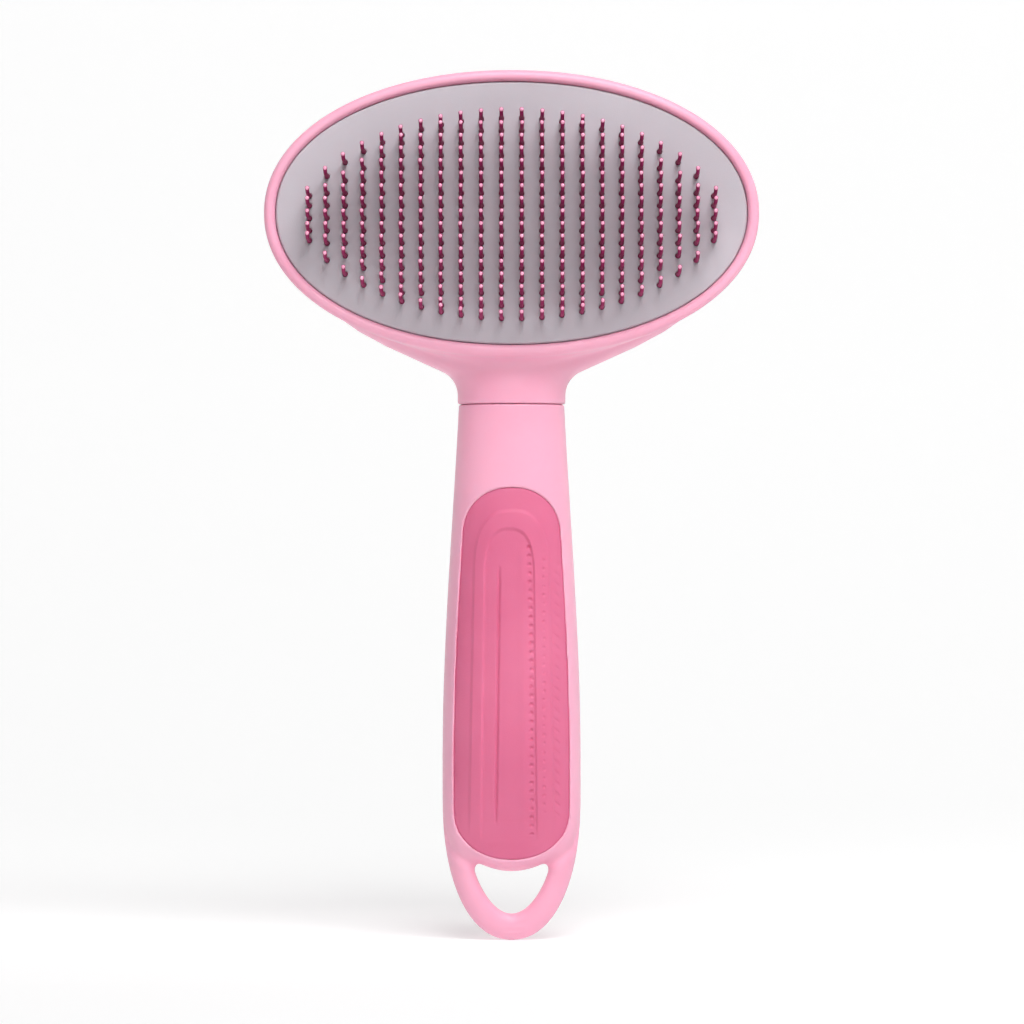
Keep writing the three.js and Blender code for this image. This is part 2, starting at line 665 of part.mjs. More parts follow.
/** The handle's body, in from its surface by inset, between two heights. */
function handleBlank(inset, bottom = FOOT_CUT, top = SEAM_HEIGHT) {
  const thinnest = 0.5;
  const rings = ringHeights(bottom, top).map((height) => {
    const halfWidth = Math.max(handleHalfWidth(height) - inset, thinnest);
    const halfDepth = Math.max(handleHalfDepth(height) - inset, thinnest);
    return crossRing(halfWidth, halfDepth, height);
  });
  return solid(loft(rings));
}

/** Half the width of a soft grip at a height, with its two rounded ends. */
function gripHalfWidth(height, margin) {
  const toEnd = Math.min(height - GRIP.bottom, GRIP.top - height) + margin;
  const into = Math.max(0, 1 - toEnd / GRIP.endRadius);
  const closed = Math.max(0, 1 - into ** FOOT_POWER) ** (1 / FOOT_POWER);
  return (handleHalfWidth(height) - GRIP.frame) * closed + margin;
}

/** A soft grip's outline, grown by a margin. */
function gripShape(margin) {
  const bottom = GRIP.bottom - margin;
  const top = GRIP.top + margin;
  const intoEnd = (step) => GRIP.endRadius * (1 - Math.cos((step / GRIP_STEPS) * (Math.PI / 2)));
  const heights = [];
  for (let step = 0; step < GRIP_STEPS; step += 1) {
    heights.push(bottom + intoEnd(step));
  }
  const straight = top - bottom - 2 * GRIP.endRadius;
  for (let step = 0; step <= GRIP_STEPS; step += 1) {
    heights.push(bottom + GRIP.endRadius + (straight * step) / GRIP_STEPS);
  }
  for (let step = GRIP_STEPS - 1; step >= 0; step -= 1) {
    heights.push(top - intoEnd(step));
  }
  const right = heights.map((height) => [Math.max(gripHalfWidth(height, margin), 0), up(height)]);
  const left = right.slice(1, -1).reverse().map(([x, z]) => [-x, z]);
  return outline([...right, ...left]);
}

/** The eye of the hanging loop: a sagging top edge with two round corners, tapering to its bottom. */
function eyeShape() {
  const radius = EYE.halfWidth;
  const cornerHeight = up(EYE.top - EYE.sag);
  const shape = new THREE.Shape();
  const depth = EYE.top - EYE.sag - EYE.bottom;
  shape.moveTo(-radius, cornerHeight);
  for (let step = -EYE_STEPS + 1; step <= EYE_STEPS; step += 1) {
    const x = radius * Math.sin((step / EYE_STEPS) * (Math.PI / 2));
    const drop = depth * (1 - (x / radius) ** 2) ** (1 / EYE.taper);
    shape.lineTo(x, cornerHeight - drop);
  }
  shape.quadraticCurveTo(radius, up(EYE.top), radius - EYE.corner, up(EYE.top));
  shape.quadraticCurveTo(0, up(EYE.top - 2 * EYE.sag), EYE.corner - radius, up(EYE.top));
  shape.quadraticCurveTo(-radius, up(EYE.top), -radius, cornerHeight);
  return shape;
}

/** Depth of a handle screw's head below the soft grip, clear of the grip's back. */
function screwFloor(height) {
  return handleHalfDepth(height) - GRIP_PAD.recess - GRIP_PAD.thickness - 3 * FIT_GAP;
}

/** One half of the handle; side is -1 for the front and 1 for the back. */
function makeHandleShell(side, blank, pocket, name) {
  const half = side < 0 ? frontHalf : backHalf;
  let shell = blank.intersect(half).subtract(pocket);
  for (const height of HANDLE_SCREW.heights) {
    const z = up(height);
    const floor = screwFloor(height);
    const bossEnds = [side * PART_LINE, side * (floor - BOSS_INSET)].sort((a, b) => a - b);
    shell = shell.add(rod(0, z, BOSS_RADIUS, ...bossEnds));
    if (side > 0) {
      const well = SMALL_HEAD.radius + FIT_GAP;
      const wellFront = floor - SMALL_HEAD.thickness - 2 * TOUCH_GAP;
      const hole = HEAD_SCREW.shaftRadius + FIT_GAP;
      const outside = floor + BOSS_RADIUS;
      shell = shell.subtract(rod(0, z, well, wellFront, outside));
      shell = shell.subtract(rod(0, z, hole, -OVERCUT, outside, SMALL_SEGMENTS));
    } else {
      const pilot = HEAD_SCREW.shaftRadius + PILOT_GAP;
      shell = shell.subtract(rod(0, z, pilot, HANDLE_SCREW.tip - FIT_GAP, OVERCUT, SMALL_SEGMENTS));
    }
  }
  if (side > 0) {
    const { height, holeRadius, tip } = NECK_SCREW;
    shell = shell.subtract(rod(0, up(height), holeRadius, tip - FIT_GAP, NECK_HALF_DEPTH));
  }
  addPiece(name, shell, LIGHT_PINK);
}

/** The handle's two shells and the soft grip let into each. */
function makeHandle() {
  const depth = 4 * HANDLE_HALF_DEPTH; // of the cutter for the eye, right through the loop
  const eye = solid(prism(eyeShape(), -depth / 2, depth / 2));
  const cavity = handleBlank(HANDLE_WALL, CAVITY.bottom, CAVITY.top);
  const body = handleBlank(0).add(tenon(0, SEAM_HEIGHT - TENON_INSET, TENON_TOP));
  const blank = body.subtract(cavity).subtract(eye);
  const gripFloor = handleBlank(GRIP_PAD.recess + GRIP_PAD.thickness + FIT_GAP);
  const gripSkin = handleBlank(GRIP_PAD.recess).subtract(handleBlank(GRIP_PAD.recess + GRIP_PAD.thickness));
  for (const side of [-1, 1]) {
    const facing = side < 0 ? 'front' : 'back';
    const ends = [side * GRIP_PAD.nearest, side * depth].sort((a, b) => a - b);
    const pocket = solid(prism(gripShape(FIT_GAP), ...ends)).subtract(gripFloor);
    const pad = solid(prism(gripShape(0), ...ends)).intersect(gripSkin);
    makeHandleShell(side, blank, pocket, `handle_${facing}_shell`);
    addPiece(`${facing}_grip`, pad, GRIP_PINK);
  }
}

function makeHandleScrews() {
  const size = { headRadius: SMALL_HEAD.radius, shaftRadius: HEAD_SCREW.shaftRadius };
  HANDLE_SCREW.heights.forEach((height, n) => {
    const headBack = screwFloor(height) - PILOT_GAP;
    const headFront = headBack - SMALL_HEAD.thickness;
    const body = screw(0, up(height), size, headFront, headBack, HANDLE_SCREW.tip);
    addPiece(`handle_screw_${n + 1}`, body, STEEL);
  });
}

// ---------------------------------------------------------------- the brush
makeHead();
makeBristles();
makeFacePlate();
makeCarrier();
makeButton();
makeSpring(-1, 'return_spring_left');
makeSpring(1, 'return_spring_right');
makeHandle();
makeHandleScrews();

export default group;
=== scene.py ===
"""Looks of the oval self-cleaning slicker brush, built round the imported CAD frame.

Shapes are worked out in millimetres in the frame's own axes (+Z up the handle, pins towards -Y)
and turned into metres when a mesh is made. Smooth mouldings are distance fields: a number at each
point of a grid, negative inside the plastic, whose zero surface is skinned with quads.
"""

import math

import bpy
import numpy as np
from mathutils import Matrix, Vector
from mathutils.geometry import delaunay_2d_cdt


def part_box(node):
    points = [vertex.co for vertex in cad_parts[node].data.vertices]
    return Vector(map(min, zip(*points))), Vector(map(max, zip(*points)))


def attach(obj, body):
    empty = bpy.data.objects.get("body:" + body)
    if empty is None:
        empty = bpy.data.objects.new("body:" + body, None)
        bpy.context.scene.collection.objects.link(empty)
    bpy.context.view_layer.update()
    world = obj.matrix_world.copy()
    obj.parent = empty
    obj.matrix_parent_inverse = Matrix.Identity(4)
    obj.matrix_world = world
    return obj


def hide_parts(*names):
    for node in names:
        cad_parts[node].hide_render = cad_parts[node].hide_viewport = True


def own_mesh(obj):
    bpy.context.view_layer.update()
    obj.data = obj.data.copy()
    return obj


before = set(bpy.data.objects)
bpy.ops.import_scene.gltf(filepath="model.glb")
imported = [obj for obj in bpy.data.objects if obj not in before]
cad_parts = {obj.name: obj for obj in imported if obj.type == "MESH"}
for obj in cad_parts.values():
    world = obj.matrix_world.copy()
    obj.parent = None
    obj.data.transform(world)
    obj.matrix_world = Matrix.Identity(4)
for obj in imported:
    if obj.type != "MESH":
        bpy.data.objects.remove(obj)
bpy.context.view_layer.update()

MM = 0.001


def box_mm(node):
    """Lowest and highest corner of a CAD node, in millimetres."""
    low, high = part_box(node)
    return np.array(low) / MM, np.array(high) / MM


# ------------------------------------------------------------------ sizes read from the frame
HEAD_LOW, HEAD_HIGH = box_mm("head_front_shell")
COVER_HIGH = box_mm("head_back_cover")[1]
PLATE_LOW, PLATE_HIGH = box_mm("face_plate")
BASE_LOW = box_mm("bristle_base_plate")[0]
BUTTON_LOW, BUTTON_HIGH = box_mm("thumb_button")
HANDLE_LOW = box_mm("handle_front_shell")[0]
GRIP_LOW, GRIP_HIGH = box_mm("front_grip")

LOOP_ALLOWANCE = 0.25  # the smooth loop reaches this much lower than the faceted one
FOOT = HANDLE_LOW[2] - LOOP_ALLOWANCE  # the loop's lowest point
SEAM = HEAD_LOW[2]  # where the head's neck meets the handle
RIM_FRONT = HEAD_LOW[1]
HEAD_BACK = COVER_HIGH[1]
HEAD_HALF_WIDTH = HEAD_HIGH[0]
HEAD_ASPECT = 0.577  # height over width
HEAD_HALF_HEIGHT = HEAD_HALF_WIDTH * HEAD_ASPECT
HEAD_CENTRE = HEAD_HIGH[2] - HEAD_HALF_HEIGHT
PLATE_FRONT = PLATE_LOW[1]

# ------------------------------------------------------------------ shape constants, millimetres
HEAD_POWER = 2.08
DRAFT = 1.5  # lean of the head's side wall between rim and parting plane
DOME_REACH = 24
DOME_POWER = 3
HEAD_WALL = 1.8
POCKET_INSET = 2.5
PLATE_INSET = 2.6  # a little less than the CAD's, which leaves the gap a moulding has
PLATE_THICKNESS = 2.0
EDGE_ALLOWANCE = 0.35  # what rounding the rim takes off the outline, given back
SPLIT = 0.05  # half the gap at the parting plane
SPLIT_ROUND = 0.45  # rounding of the edges along the parting plane
RIM_ROUND = 2.2
RIM_INNER_ROUND = 1.7
INNER_ROUND = 0.2  # rounding of edges that are hardly seen

NECK_HALF_WIDTH = 12.5
NECK_HALF_DEPTH = 10.2
SEAM_GAP = 0.06  # half the gap of the seam between neck and handle
SEAM_ROUND = 0.35
SADDLE_DEPTH = 1.1  # dip of the neck's front between seam and rim
SADDLE_HEIGHT = 11.5
SADDLE_SPREAD = 5
FLARE_RADIUS = 6
FLARE_ANGLE = math.radians(65)
FLARE_START = SEAM + 2.1
FLARE_TOP = 35  # above the seam, well inside the head
FLARE_TOP_ROUND = 4
# half width, and height above the seam, where the neck's side runs into the head
FLARE_RUN_OUT = [(28.9, 13.4), (35.4, 16.9), (40.1, 20.2), (43.7, 24.2), (46, 29.5), (46.8, FLARE_TOP)]
FILLET_MIDDLE = 0.8  # fillet between neck and head at the parting plane
FILLET_FRONT = 5.2  # added to it at the front
FILLET_BACK = 4  # added to it at the back

BUTTON_POWER = 2.4
BUTTON_FLANGE = 2  # reach of the button's flange past its cap
BUTTON_GAP = 0.5
BUTTON_HALF_WIDTH = BUTTON_HIGH[0] - BUTTON_FLANGE
BUTTON_HALF_HEIGHT = (BUTTON_HIGH[2] - BUTTON_LOW[2]) / 2 - BUTTON_FLANGE

HANDLE_HALF_WIDTH = 16
HANDLE_TOP_HALF_WIDTH = 12.2
HANDLE_HALF_DEPTH = 12.3
LOOP_HALF_DEPTH = 4.5
CROSS_POWER = 2.25

EYE_TOP = 16  # above the foot
EYE_HALF_WIDTH = 8.5
EYE_DROP = 9.9
EYE_TAPER = 1.17
EYE_CORNER = 2.2
EYE_ROUND = 4.2
ROOF_RISE = 1.6  # how much the eye's hanging roof rises over ROOF_REACH
ROOF_REACH = 7

GRIP_FRAME = 2.75  # width of the shell left beside a grip
GRIP_END = 10.4
GRIP_POWER = 2.2
GRIP_RECESS = 0.35
GRIP_THICKNESS = 1.7
VALLEY_DEPTH = 0.75  # hollow in the shell round the grip's lower end
VALLEY_AWAY = 3.3  # from the grip's edge
VALLEY_SPREAD = 1.1
VALLEY_TOP = 30  # above the foot
VALLEY_FADE = 9


# ------------------------------------------------------------------ fields and skins
def axes_between(low, high, step):
    """Grid coordinates along X, Y and Z as three arrays that broadcast together."""
    lines = [np.arange(a, b + step, step, dtype=np.float32) for a, b in zip(low, high)]
    x, y, z = lines
    return x[:, None, None], y[None, :, None], z[None, None, :]


def as_distance(field, step):
    """Divides a field by its own slope, so that near its surface it counts millimetres."""
    slope = np.sqrt(sum(g * g for g in np.gradient(field, step)))
    return field / np.maximum(slope, 1e-3)


def flat_distance(field, step):
    """as_distance for a field that is the same at every depth."""
    layers = (field.shape[0], 3, field.shape[2])
    return as_distance(np.broadcast_to(field, layers).astype(np.float32), step)[:, 1:2]


def ramp(value, low, high):
    """0 below low, 1 above high and straight between them."""
    return np.clip((value - low) / (high - low), 0, 1)


def either(a, b, radius):
    """Union of two fields with a fillet."""
    h = np.clip(0.5 + 0.5 * (b - a) / radius, 0, 1)
    return b * (1 - h) + a * h - radius * h * (1 - h)


def both(a, b, radius):
    """Intersection of two fields with a rounded edge."""
    return -either(-a, -b, radius)


def cut(a, b, radius):
    """Field a with field b taken out, the edge rounded."""
    return both(a, -b, radius)


def superellipse_field(x, z, half_width, half_height, power):
    """Distance to a superellipse, negative inside."""
    u = np.abs(x / half_width)
    v = np.abs(z / half_height)
    r = np.maximum((u**power + v**power) ** (1 / power), 1e-3)
    slope_x = (u / r) ** (power - 1) / half_width
    slope_z = (v / r) ** (power - 1) / half_height
    return (r - 1) / np.sqrt(slope_x**2 + slope_z**2)


def net(field, low, step):
    """Vertices and quads of a field's zero surface (surface nets)."""
    inside = field < 0
    cells = tuple(n - 1 for n in field.shape)

    def corner(array, i, j, k):
        return array[i : i + cells[0], j : j + cells[1], k : k + cells[2]]

    filled = sum(
        corner(inside, i, j, k).astype(np.int8) for i in (0, 1) for j in (0, 1) for k in (0, 1)
    )
    crossed = (filled > 0) & (filled < 8)
    index = np.full(cells, -1, np.int64)
    where = np.argwhere(crossed)
    index[crossed] = np.arange(len(where))
    total = np.zeros((len(where), 3))
    count = np.zeros(len(where))
    offsets = [(i, j, k) for i in (0, 1) for j in (0, 1) for k in (0, 1)]
    for start in offsets:
        for axis in range(3):
            if start[axis]:
                continue
            end = list(start)
            end[axis] = 1
            a = field[tuple((where + start).T)]
            b = field[tuple((where + end).T)]
            change = (a < 0) != (b < 0)
            t = np.where(change, a / np.where(change, a - b, 1), 0)
            point = np.tile(np.array(start, float), (len(where), 1))
            point[:, axis] += t
            total[change] += point[change]
            count[change] += 1
    vertices = (where + total / count[:, None]) * step + np.array(low)
    quads = []
    for axis in range(3):
        other = [n for n in range(3) if n != axis]
        first = [slice(None)] * 3
        second = [slice(None)] * 3
        first[axis] = slice(0, -1)
        second[axis] = slice(1, None)
        a = inside[tuple(first)]
        b = inside[tuple(second)]
        edges = np.argwhere(a != b)
        fits = np.all([(edges[:, o] > 0) & (edges[:, o] < cells[o]) for o in other], axis=0)
        edges = edges[fits]
        around = []
        for du, dv in ((1, 1), (0, 1), (0, 0), (1, 0)):
            cell = edges.copy()
            cell[:, other[0]] -= du
            cell[:, other[1]] -= dv
            around.append(index[tuple(cell.T)])
        faces = np.stack(around, axis=1)
        outward = a[tuple(edges.T)] != (axis == 1)
        faces[~outward] = faces[~outward][:, ::-1]
        quads.append(faces)
    return vertices, np.concatenate(quads)


def make_mesh(name, vertices, faces, material, smooth=True):
    """A new mesh object from points in millimetres."""
    mesh = bpy.data.meshes.new(name)
    points = np.asarray(vertices, float) * MM
    mesh.from_pydata(points.tolist(), [], [list(map(int, f)) for f in faces])
    mesh.validate()
    mesh.update()
    obj = bpy.data.objects.new(name, mesh)
    bpy.context.scene.collection.objects.link(obj)
    mesh.materials.append(material)
    mesh.polygons.foreach_set("use_smooth", [smooth] * len(mesh.polygons))
    return obj


def skin(name, field, low, step, material):
    """The mesh object of a field's zero surface."""
    vertices, quads = net(field, low, step)
    return make_mesh(name, vertices, quads, material)


def show(obj, body, slot, *nodes):
    """Fixes a piece to its body, and hides the CAD nodes it stands for."""
    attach(obj, body)
    if nodes:
        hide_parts(*nodes)
    return obj


# ------------------------------------------------------------------ materials
GRAIN_DEPTH = 0.00002  # metres


def new_material(name, colour, roughness, **sockets):
    """A Principled material with its constants on the shader's own sockets."""
    material = bpy.data.materials.new(name)
    material.use_nodes = True
    shader = material.node_tree.nodes["Principled BSDF"]
    shader.inputs["Base Color"].default_value = (*colour, 1)
    shader.inputs["Roughness"].default_value = roughness
    for socket, value in sockets.items():
        shader.inputs[socket.replace("_", " ")].default_value = value
    return material, material.node_tree, shader


def add(tree, kind, **settings):
    """A new node with its settings; a setting whose name is a socket sets that socket."""
    node = tree.nodes.new(kind)
    for key, value in settings.items():
        if key in node.inputs:
            node.inputs[key].default_value = value
        else:
            setattr(node, key, value)
    return node


def noise(tree, scale, detail=3.0, roughness=0.55):
    """Noise in object space; scale counts features for each metre."""
    place = add(tree, "ShaderNodeTexCoord")
    texture = add(tree, "ShaderNodeTexNoise", Scale=scale, Detail=detail, Roughness=roughness)
    tree.links.new(place.outputs["Object"], texture.inputs["Vector"])
    return texture.outputs["Fac"]


def colour_ramp(tree, fac, stops):
    """A colour ramp through (position, rgb) stops."""
    ramp = add(tree, "ShaderNodeValToRGB")
    elements = ramp.color_ramp.elements
    while len(elements) < len(stops):
        elements.new(0.5)
    for element, (position, rgb) in zip(elements, stops):
        element.position = position
        element.color = (*rgb, 1)
    tree.links.new(fac, ramp.inputs["Fac"])
    return ramp.outputs["Color"]


def spread(tree, fac, low, high, from_low=0.0, from_high=1.0):
    """A value spread from its own range over a new one."""
    node = add(tree, "ShaderNodeMapRange")
    node.inputs["From Min"].default_value = from_low
    node.inputs["From Max"].default_value = from_high
    node.inputs["To Min"].default_value = low
    node.inputs["To Max"].default_value = high
    tree.links.new(fac, node.inputs["Value"])
    return node.outputs["Result"]


def bump(tree, shader, height, distance, strength=1.0):
    """Fine relief on a shader."""
    node = add(tree, "ShaderNodeBump", Strength=strength, Distance=distance)
    tree.links.new(height, node.inputs["Height"])
    tree.links.new(node.outputs["Normal"], shader.inputs["Normal"])


def linear(*rgb):
    """An sRGB colour given 0 to 255 as linear values."""
    values = [c / 255 for c in rgb]
    return tuple(c / 12.92 if c <= 0.04045 else ((c + 0.055) / 1.055) ** 2.4 for c in values)


def drift_colour(tree, shader, scale, detail, stops):
    """Lets the base colour drift between two stops over a slow noise."""
    tree.links.new(colour_ramp(tree, noise(tree, scale, detail), stops), shader.inputs["Base Color"])


def uneven_gloss(tree, shader, fac, low, high):
    """Lets the roughness vary between two values."""
    tree.links.new(spread(tree, fac, low, high), shader.inputs["Roughness"])


def moulded_plastic(name, colour, deeper, roughness, grain, coat=0.0):
    """Moulded plastic: a slow drift of colour, uneven gloss and a fine spark-eroded grain."""
    material, tree, shader = new_material(name, colour, roughness)
    shader.inputs["Specular IOR Level"].default_value = 0.33
    shader.inputs["Coat Weight"].default_value = coat
    shader.inputs["Coat Roughness"].default_value = 0.18
    shader.inputs["Subsurface Weight"].default_value = 0.22
    shader.inputs["Subsurface Radius"].default_value = (0.004, 0.0018, 0.0018)
    shader.inputs["Subsurface Scale"].default_value = 0.6
    drift_colour(tree, shader, 45, 2, [(0.3, deeper), (0.7, colour)])
    uneven_gloss(tree, shader, noise(tree, 420, 4), roughness - 0.07, roughness + 0.07)
    bump(tree, shader, noise(tree, 3800, 3), GRAIN_DEPTH * grain)
    return material


def coated_pin(name, colour, deeper, roughness, coat, specular=0.5):
    """Coating over wire, a little uneven where it ran thicker."""
    material, tree, shader = new_material(name, colour, roughness)
    shader.inputs["Specular IOR Level"].default_value = specular
    shader.inputs["Coat Weight"].default_value = coat
    shader.inputs["Coat Roughness"].default_value = 0.12
    drift_colour(tree, shader, 900, 2, [(0.35, deeper), (0.65, colour)])
    bump(tree, shader, noise(tree, 2600, 2), GRAIN_DEPTH)
    return material


def zinc_steel(name, colour, deeper):
    """Bright plated steel with fine turning marks."""
    material, tree, shader = new_material(name, colour, 0.3, Metallic=1.0)
    drift_colour(tree, shader, 1400, 4, [(0.3, deeper), (0.7, colour)])
    uneven_gloss(tree, shader, noise(tree, 3000, 3), 0.22, 0.42)
    bump(tree, shader, noise(tree, 6000, 2), GRAIN_DEPTH / 2)
    return material


SHELL_PINK = moulded_plastic(
    "shell_pink", linear(247, 178, 202), linear(244, 170, 196), roughness=0.4, grain=1.0, coat=0.15
)
GRIP_PINK = moulded_plastic(
    "grip_pink", linear(224, 117, 152), linear(216, 106, 143), roughness=0.55, grain=2.2
)
FACE_GREY = moulded_plastic(
    "face_grey", linear(193, 186, 193), linear(185, 178, 185), roughness=0.42, grain=1.6
)
INNER_WHITE = moulded_plastic(
    "inner_white", linear(232, 226, 226), linear(222, 216, 217), roughness=0.5, grain=1.2
)
PIN_SHAFT = coated_pin(
    "pin_shaft", linear(160, 46, 98), linear(134, 34, 80), roughness=0.6, coat=0.0, specular=0.15
)
PIN_BALL = coated_pin(
    "pin_ball", linear(186, 66, 118), linear(168, 54, 102), roughness=0.4, coat=0.3
)
# Painted highlight: a light pink put on the outermost cap of each pin's ball, where the glint of the
# lamps falls.
PIN_TIP_HIGHLIGHT = coated_pin(
    "pin_tip_highlight", linear(250, 176, 204), linear(240, 150, 186), roughness=0.3, coat=0.6
)
STEEL = zinc_steel("steel", (0.62, 0.63, 0.66), (0.5, 0.51, 0.54))


# ------------------------------------------------------------------ head
def head_outline(x, z):
    """Distance to the head's outline in the front view."""
    return superellipse_field(x, z - HEAD_CENTRE, HEAD_HALF_WIDTH, HEAD_HALF_HEIGHT, HEAD_POWER)


def flare_half_width(z):
    """Half the neck's width at a height: straight, a concave arc, then a run into the head's side."""
    angles = np.linspace(0, FLARE_ANGLE, 12)
    arc_widths = NECK_HALF_WIDTH + FLARE_RADIUS * (1 - np.cos(angles))
    arc_heights = FLARE_START + FLARE_RADIUS * np.sin(angles)
    widths = [NECK_HALF_WIDTH, NECK_HALF_WIDTH, *arc_widths]
    heights = [SEAM - NECK_HALF_WIDTH, FLARE_START, *arc_heights]
    for width, above in FLARE_RUN_OUT:
        widths.append(width)
        heights.append(SEAM + above)
    return np.interp(z, heights, widths).astype(np.float32)


def head_shell(outline, y, step):
    """Distance to the head's leaning side in front of the parting plane and its dome behind it."""
    side = outline + DRAFT * (1 - y / RIM_FRONT)
    inward = np.maximum(1 + (outline + DRAFT) / DOME_REACH, 0)
    rise = np.maximum(y, 0) / HEAD_BACK
    dome = ((inward**DOME_POWER + rise**DOME_POWER) ** (1 / DOME_POWER) - 1) * DOME_REACH
    return as_distance(np.where(y < 0, side, dome), step)


def neck_field(x, y, z, step):
    """Distance to the neck, dipped in front, which widens inside the head."""
    saddle = SADDLE_DEPTH * np.exp(-(((z - SEAM - SADDLE_HEIGHT) / SADDLE_SPREAD) ** 2)) * (y < 0)
    side = np.abs(x / flare_half_width(z)) ** CROSS_POWER
    depth = np.abs(y / (NECK_HALF_DEPTH - saddle)) ** CROSS_POWER
    neck = as_distance(((side + depth) ** (1 / CROSS_POWER) - 1) * NECK_HALF_DEPTH, step)
    return both(neck, z - (SEAM + FLARE_TOP) + 0 * neck, FLARE_TOP_ROUND)


def neck_fillet(y):
    """Fillet between neck and head at a depth, wide in front and behind and small between."""
    return FILLET_MIDDLE + FILLET_FRONT * ramp(-y, 5, 10) + FILLET_BACK * ramp(y, 4, 11)


def head_fields(x, y, z, step):
    """The head's solid and its hollow."""
    outline = head_outline(x, z) - EDGE_ALLOWANCE
    shell = head_shell(outline, y, step)
    rim = both(shell, RIM_FRONT - y + 0 * shell, RIM_ROUND)
    solid = either(rim, neck_field(x, y, z, step), neck_fillet(y))
    solid = both(solid, SEAM + SEAM_GAP - z + 0 * solid, SEAM_ROUND)
    pocket = outline + POCKET_INSET + EDGE_ALLOWANCE + 0 * solid
    pocket = both(pocket, y - 1 + 0 * solid, INNER_ROUND)
    hollow = both(shell + HEAD_WALL, -1 - y + 0 * solid, INNER_ROUND)
    return solid, np.minimum(pocket, hollow)


def round_hole(x, z, cx, cz, radius):
    """Distance to an endless round hole along Y."""
    return np.sqrt((x - cx) ** 2 + (z - cz) ** 2) - radius


def screw_places(nodes):
    """Middle of each CAD screw's head in the front view, and the depth of the head's top."""
    places = []
    for node in nodes:
        low, high = box_mm(node)
        places.append(((low[0] + high[0]) / 2, (low[2] + high[2]) / 2, high[1]))
    return places


HEAD_SCREWS = screw_places([f"head_screw_{n}" for n in (1, 2, 3, 4)])
NECK_SCREW = screw_places(["neck_screw"])[0]


def head_grid(front, back, step):
    """Lowest corner of a grid round the head between two depths, and its coordinates."""
    low = np.array([-HEAD_HALF_WIDTH - 1.5, front, SEAM - 1])
    high = np.array([HEAD_HALF_WIDTH + 1.5, back, HEAD_HIGH[2] + 1.5])
    return low, axes_between(low, high, step)


def sink_well(field, x, y, z, cx, cz, radius, floor):
    """Cuts a round screw well into a field from behind, down to its floor."""
    well = both(round_hole(x, z, cx, cz, radius) + 0 * field, floor - y + 0 * field, INNER_ROUND)
    return cut(field, well, 0.5)


def make_head_front():
    """The front shell: rim, side wall and the neck's front half."""
    step = 0.42
    low, (x, y, z) = head_grid(RIM_FRONT - 1, 1, step)
    solid, hollow = head_fields(x, y, z, step)
    front = cut(solid, hollow, RIM_INNER_ROUND)
    front = both(front, y + SPLIT + 0 * front, SPLIT_ROUND)
    obj = skin("head_front", front, low, step, SHELL_PINK)
    show(obj, "brush", "pink_shell", "head_front_shell")


def make_head_back():
    """The domed cover with the button's opening and the screw wells."""
    step = 0.46
    low, (x, y, z) = head_grid(-1, HEAD_BACK + 1.5, step)
    solid, hollow = head_fields(x, y, z, step)
    back = cut(solid, hollow, 0.3)
    half_width = BUTTON_HALF_WIDTH + BUTTON_GAP
    half_height = BUTTON_HALF_HEIGHT + BUTTON_GAP
    opening = superellipse_field(x, z - HEAD_CENTRE, half_width, half_height, BUTTON_POWER)
    back = cut(back, opening + 0 * back, 1.2)
    for cx, cz, head_top in HEAD_SCREWS:
        boss = round_hole(x, z, cx, cz, 3.9) + 0 * back
        boss = both(boss, y - head_top - 1 + 0 * back, INNER_ROUND)
        back = np.minimum(back, both(boss, solid + 0.4, INNER_ROUND))
        back = sink_well(back, x, y, z, cx, cz, 2.6, head_top - 2.2)
    cx, cz, head_top = NECK_SCREW
    back = sink_well(back, x, y, z, cx, cz, 2.5, head_top - 1.2)
    back = both(back, SPLIT - y + 0 * back, SPLIT_ROUND)
    obj = skin("head_back", back, low, step, SHELL_PINK)
    show(obj, "brush", "pink_shell", "head_back_cover")


# ------------------------------------------------------------------ handle
def ease(a, b, t, end_slope=0.0):
    """A cubic from a, with no slope, to b, with the given slope."""
    s = t * t * (3 - 2 * t)
    return a + (b - a) * s + end_slope * (t**3 - t**2)


FOOT_CENTRE = 33  # height over the foot where the outline starts to close in
FOOT_POWER = 2.2
WAIST_START = 42  # height over the foot where the handle starts to narrow upwards
WAIST_SLOPE = -4.1
DEEPEST = 48  # height over the foot where the handle is deepest


def foot_factor(above, power):
    """How far the outline has closed in towards the foot."""
    down = np.clip((FOOT_CENTRE - above) / FOOT_CENTRE, 0, 1)
    return np.maximum(1 - down**power, 0) ** (1 / power)


def full_half_width(z):
    """Half the handle's width, not counting the round foot."""
    t = np.clip((np.asarray(z) - FOOT - WAIST_START) / (SEAM - FOOT - WAIST_START), 0, 1.05)
    return ease(HANDLE_HALF_WIDTH, HANDLE_TOP_HALF_WIDTH, t, WAIST_SLOPE)


def handle_half_width(z):
    """Half the handle's width at a height."""
    return full_half_width(z) * foot_factor(np.asarray(z) - FOOT, FOOT_POWER)


def handle_half_depth(z):
    """Half the handle's depth at a height: thin at the loop and deepest above it."""
    above = np.asarray(z) - FOOT
    down = np.clip((DEEPEST - above) / DEEPEST, 0, 1.05)
    lower = ease(HANDLE_HALF_DEPTH, LOOP_HALF_DEPTH, down)
    up = np.clip((above - DEEPEST) / (SEAM - FOOT - DEEPEST), 0, 1.05)
    return np.where(above < DEEPEST, lower, ease(HANDLE_HALF_DEPTH, NECK_HALF_DEPTH, up))


def across_handle(x, z, inset=0.0):
    """0 on the handle's middle line and 1 on its outline in the front view, round the foot too."""
    down = np.maximum(FOOT_CENTRE - (z - FOOT), 0) / (FOOT_CENTRE - inset)
    side = np.abs(x) / (full_half_width(z) - inset)
    return (side**FOOT_POWER + down**FOOT_POWER) ** (1 / FOOT_POWER)


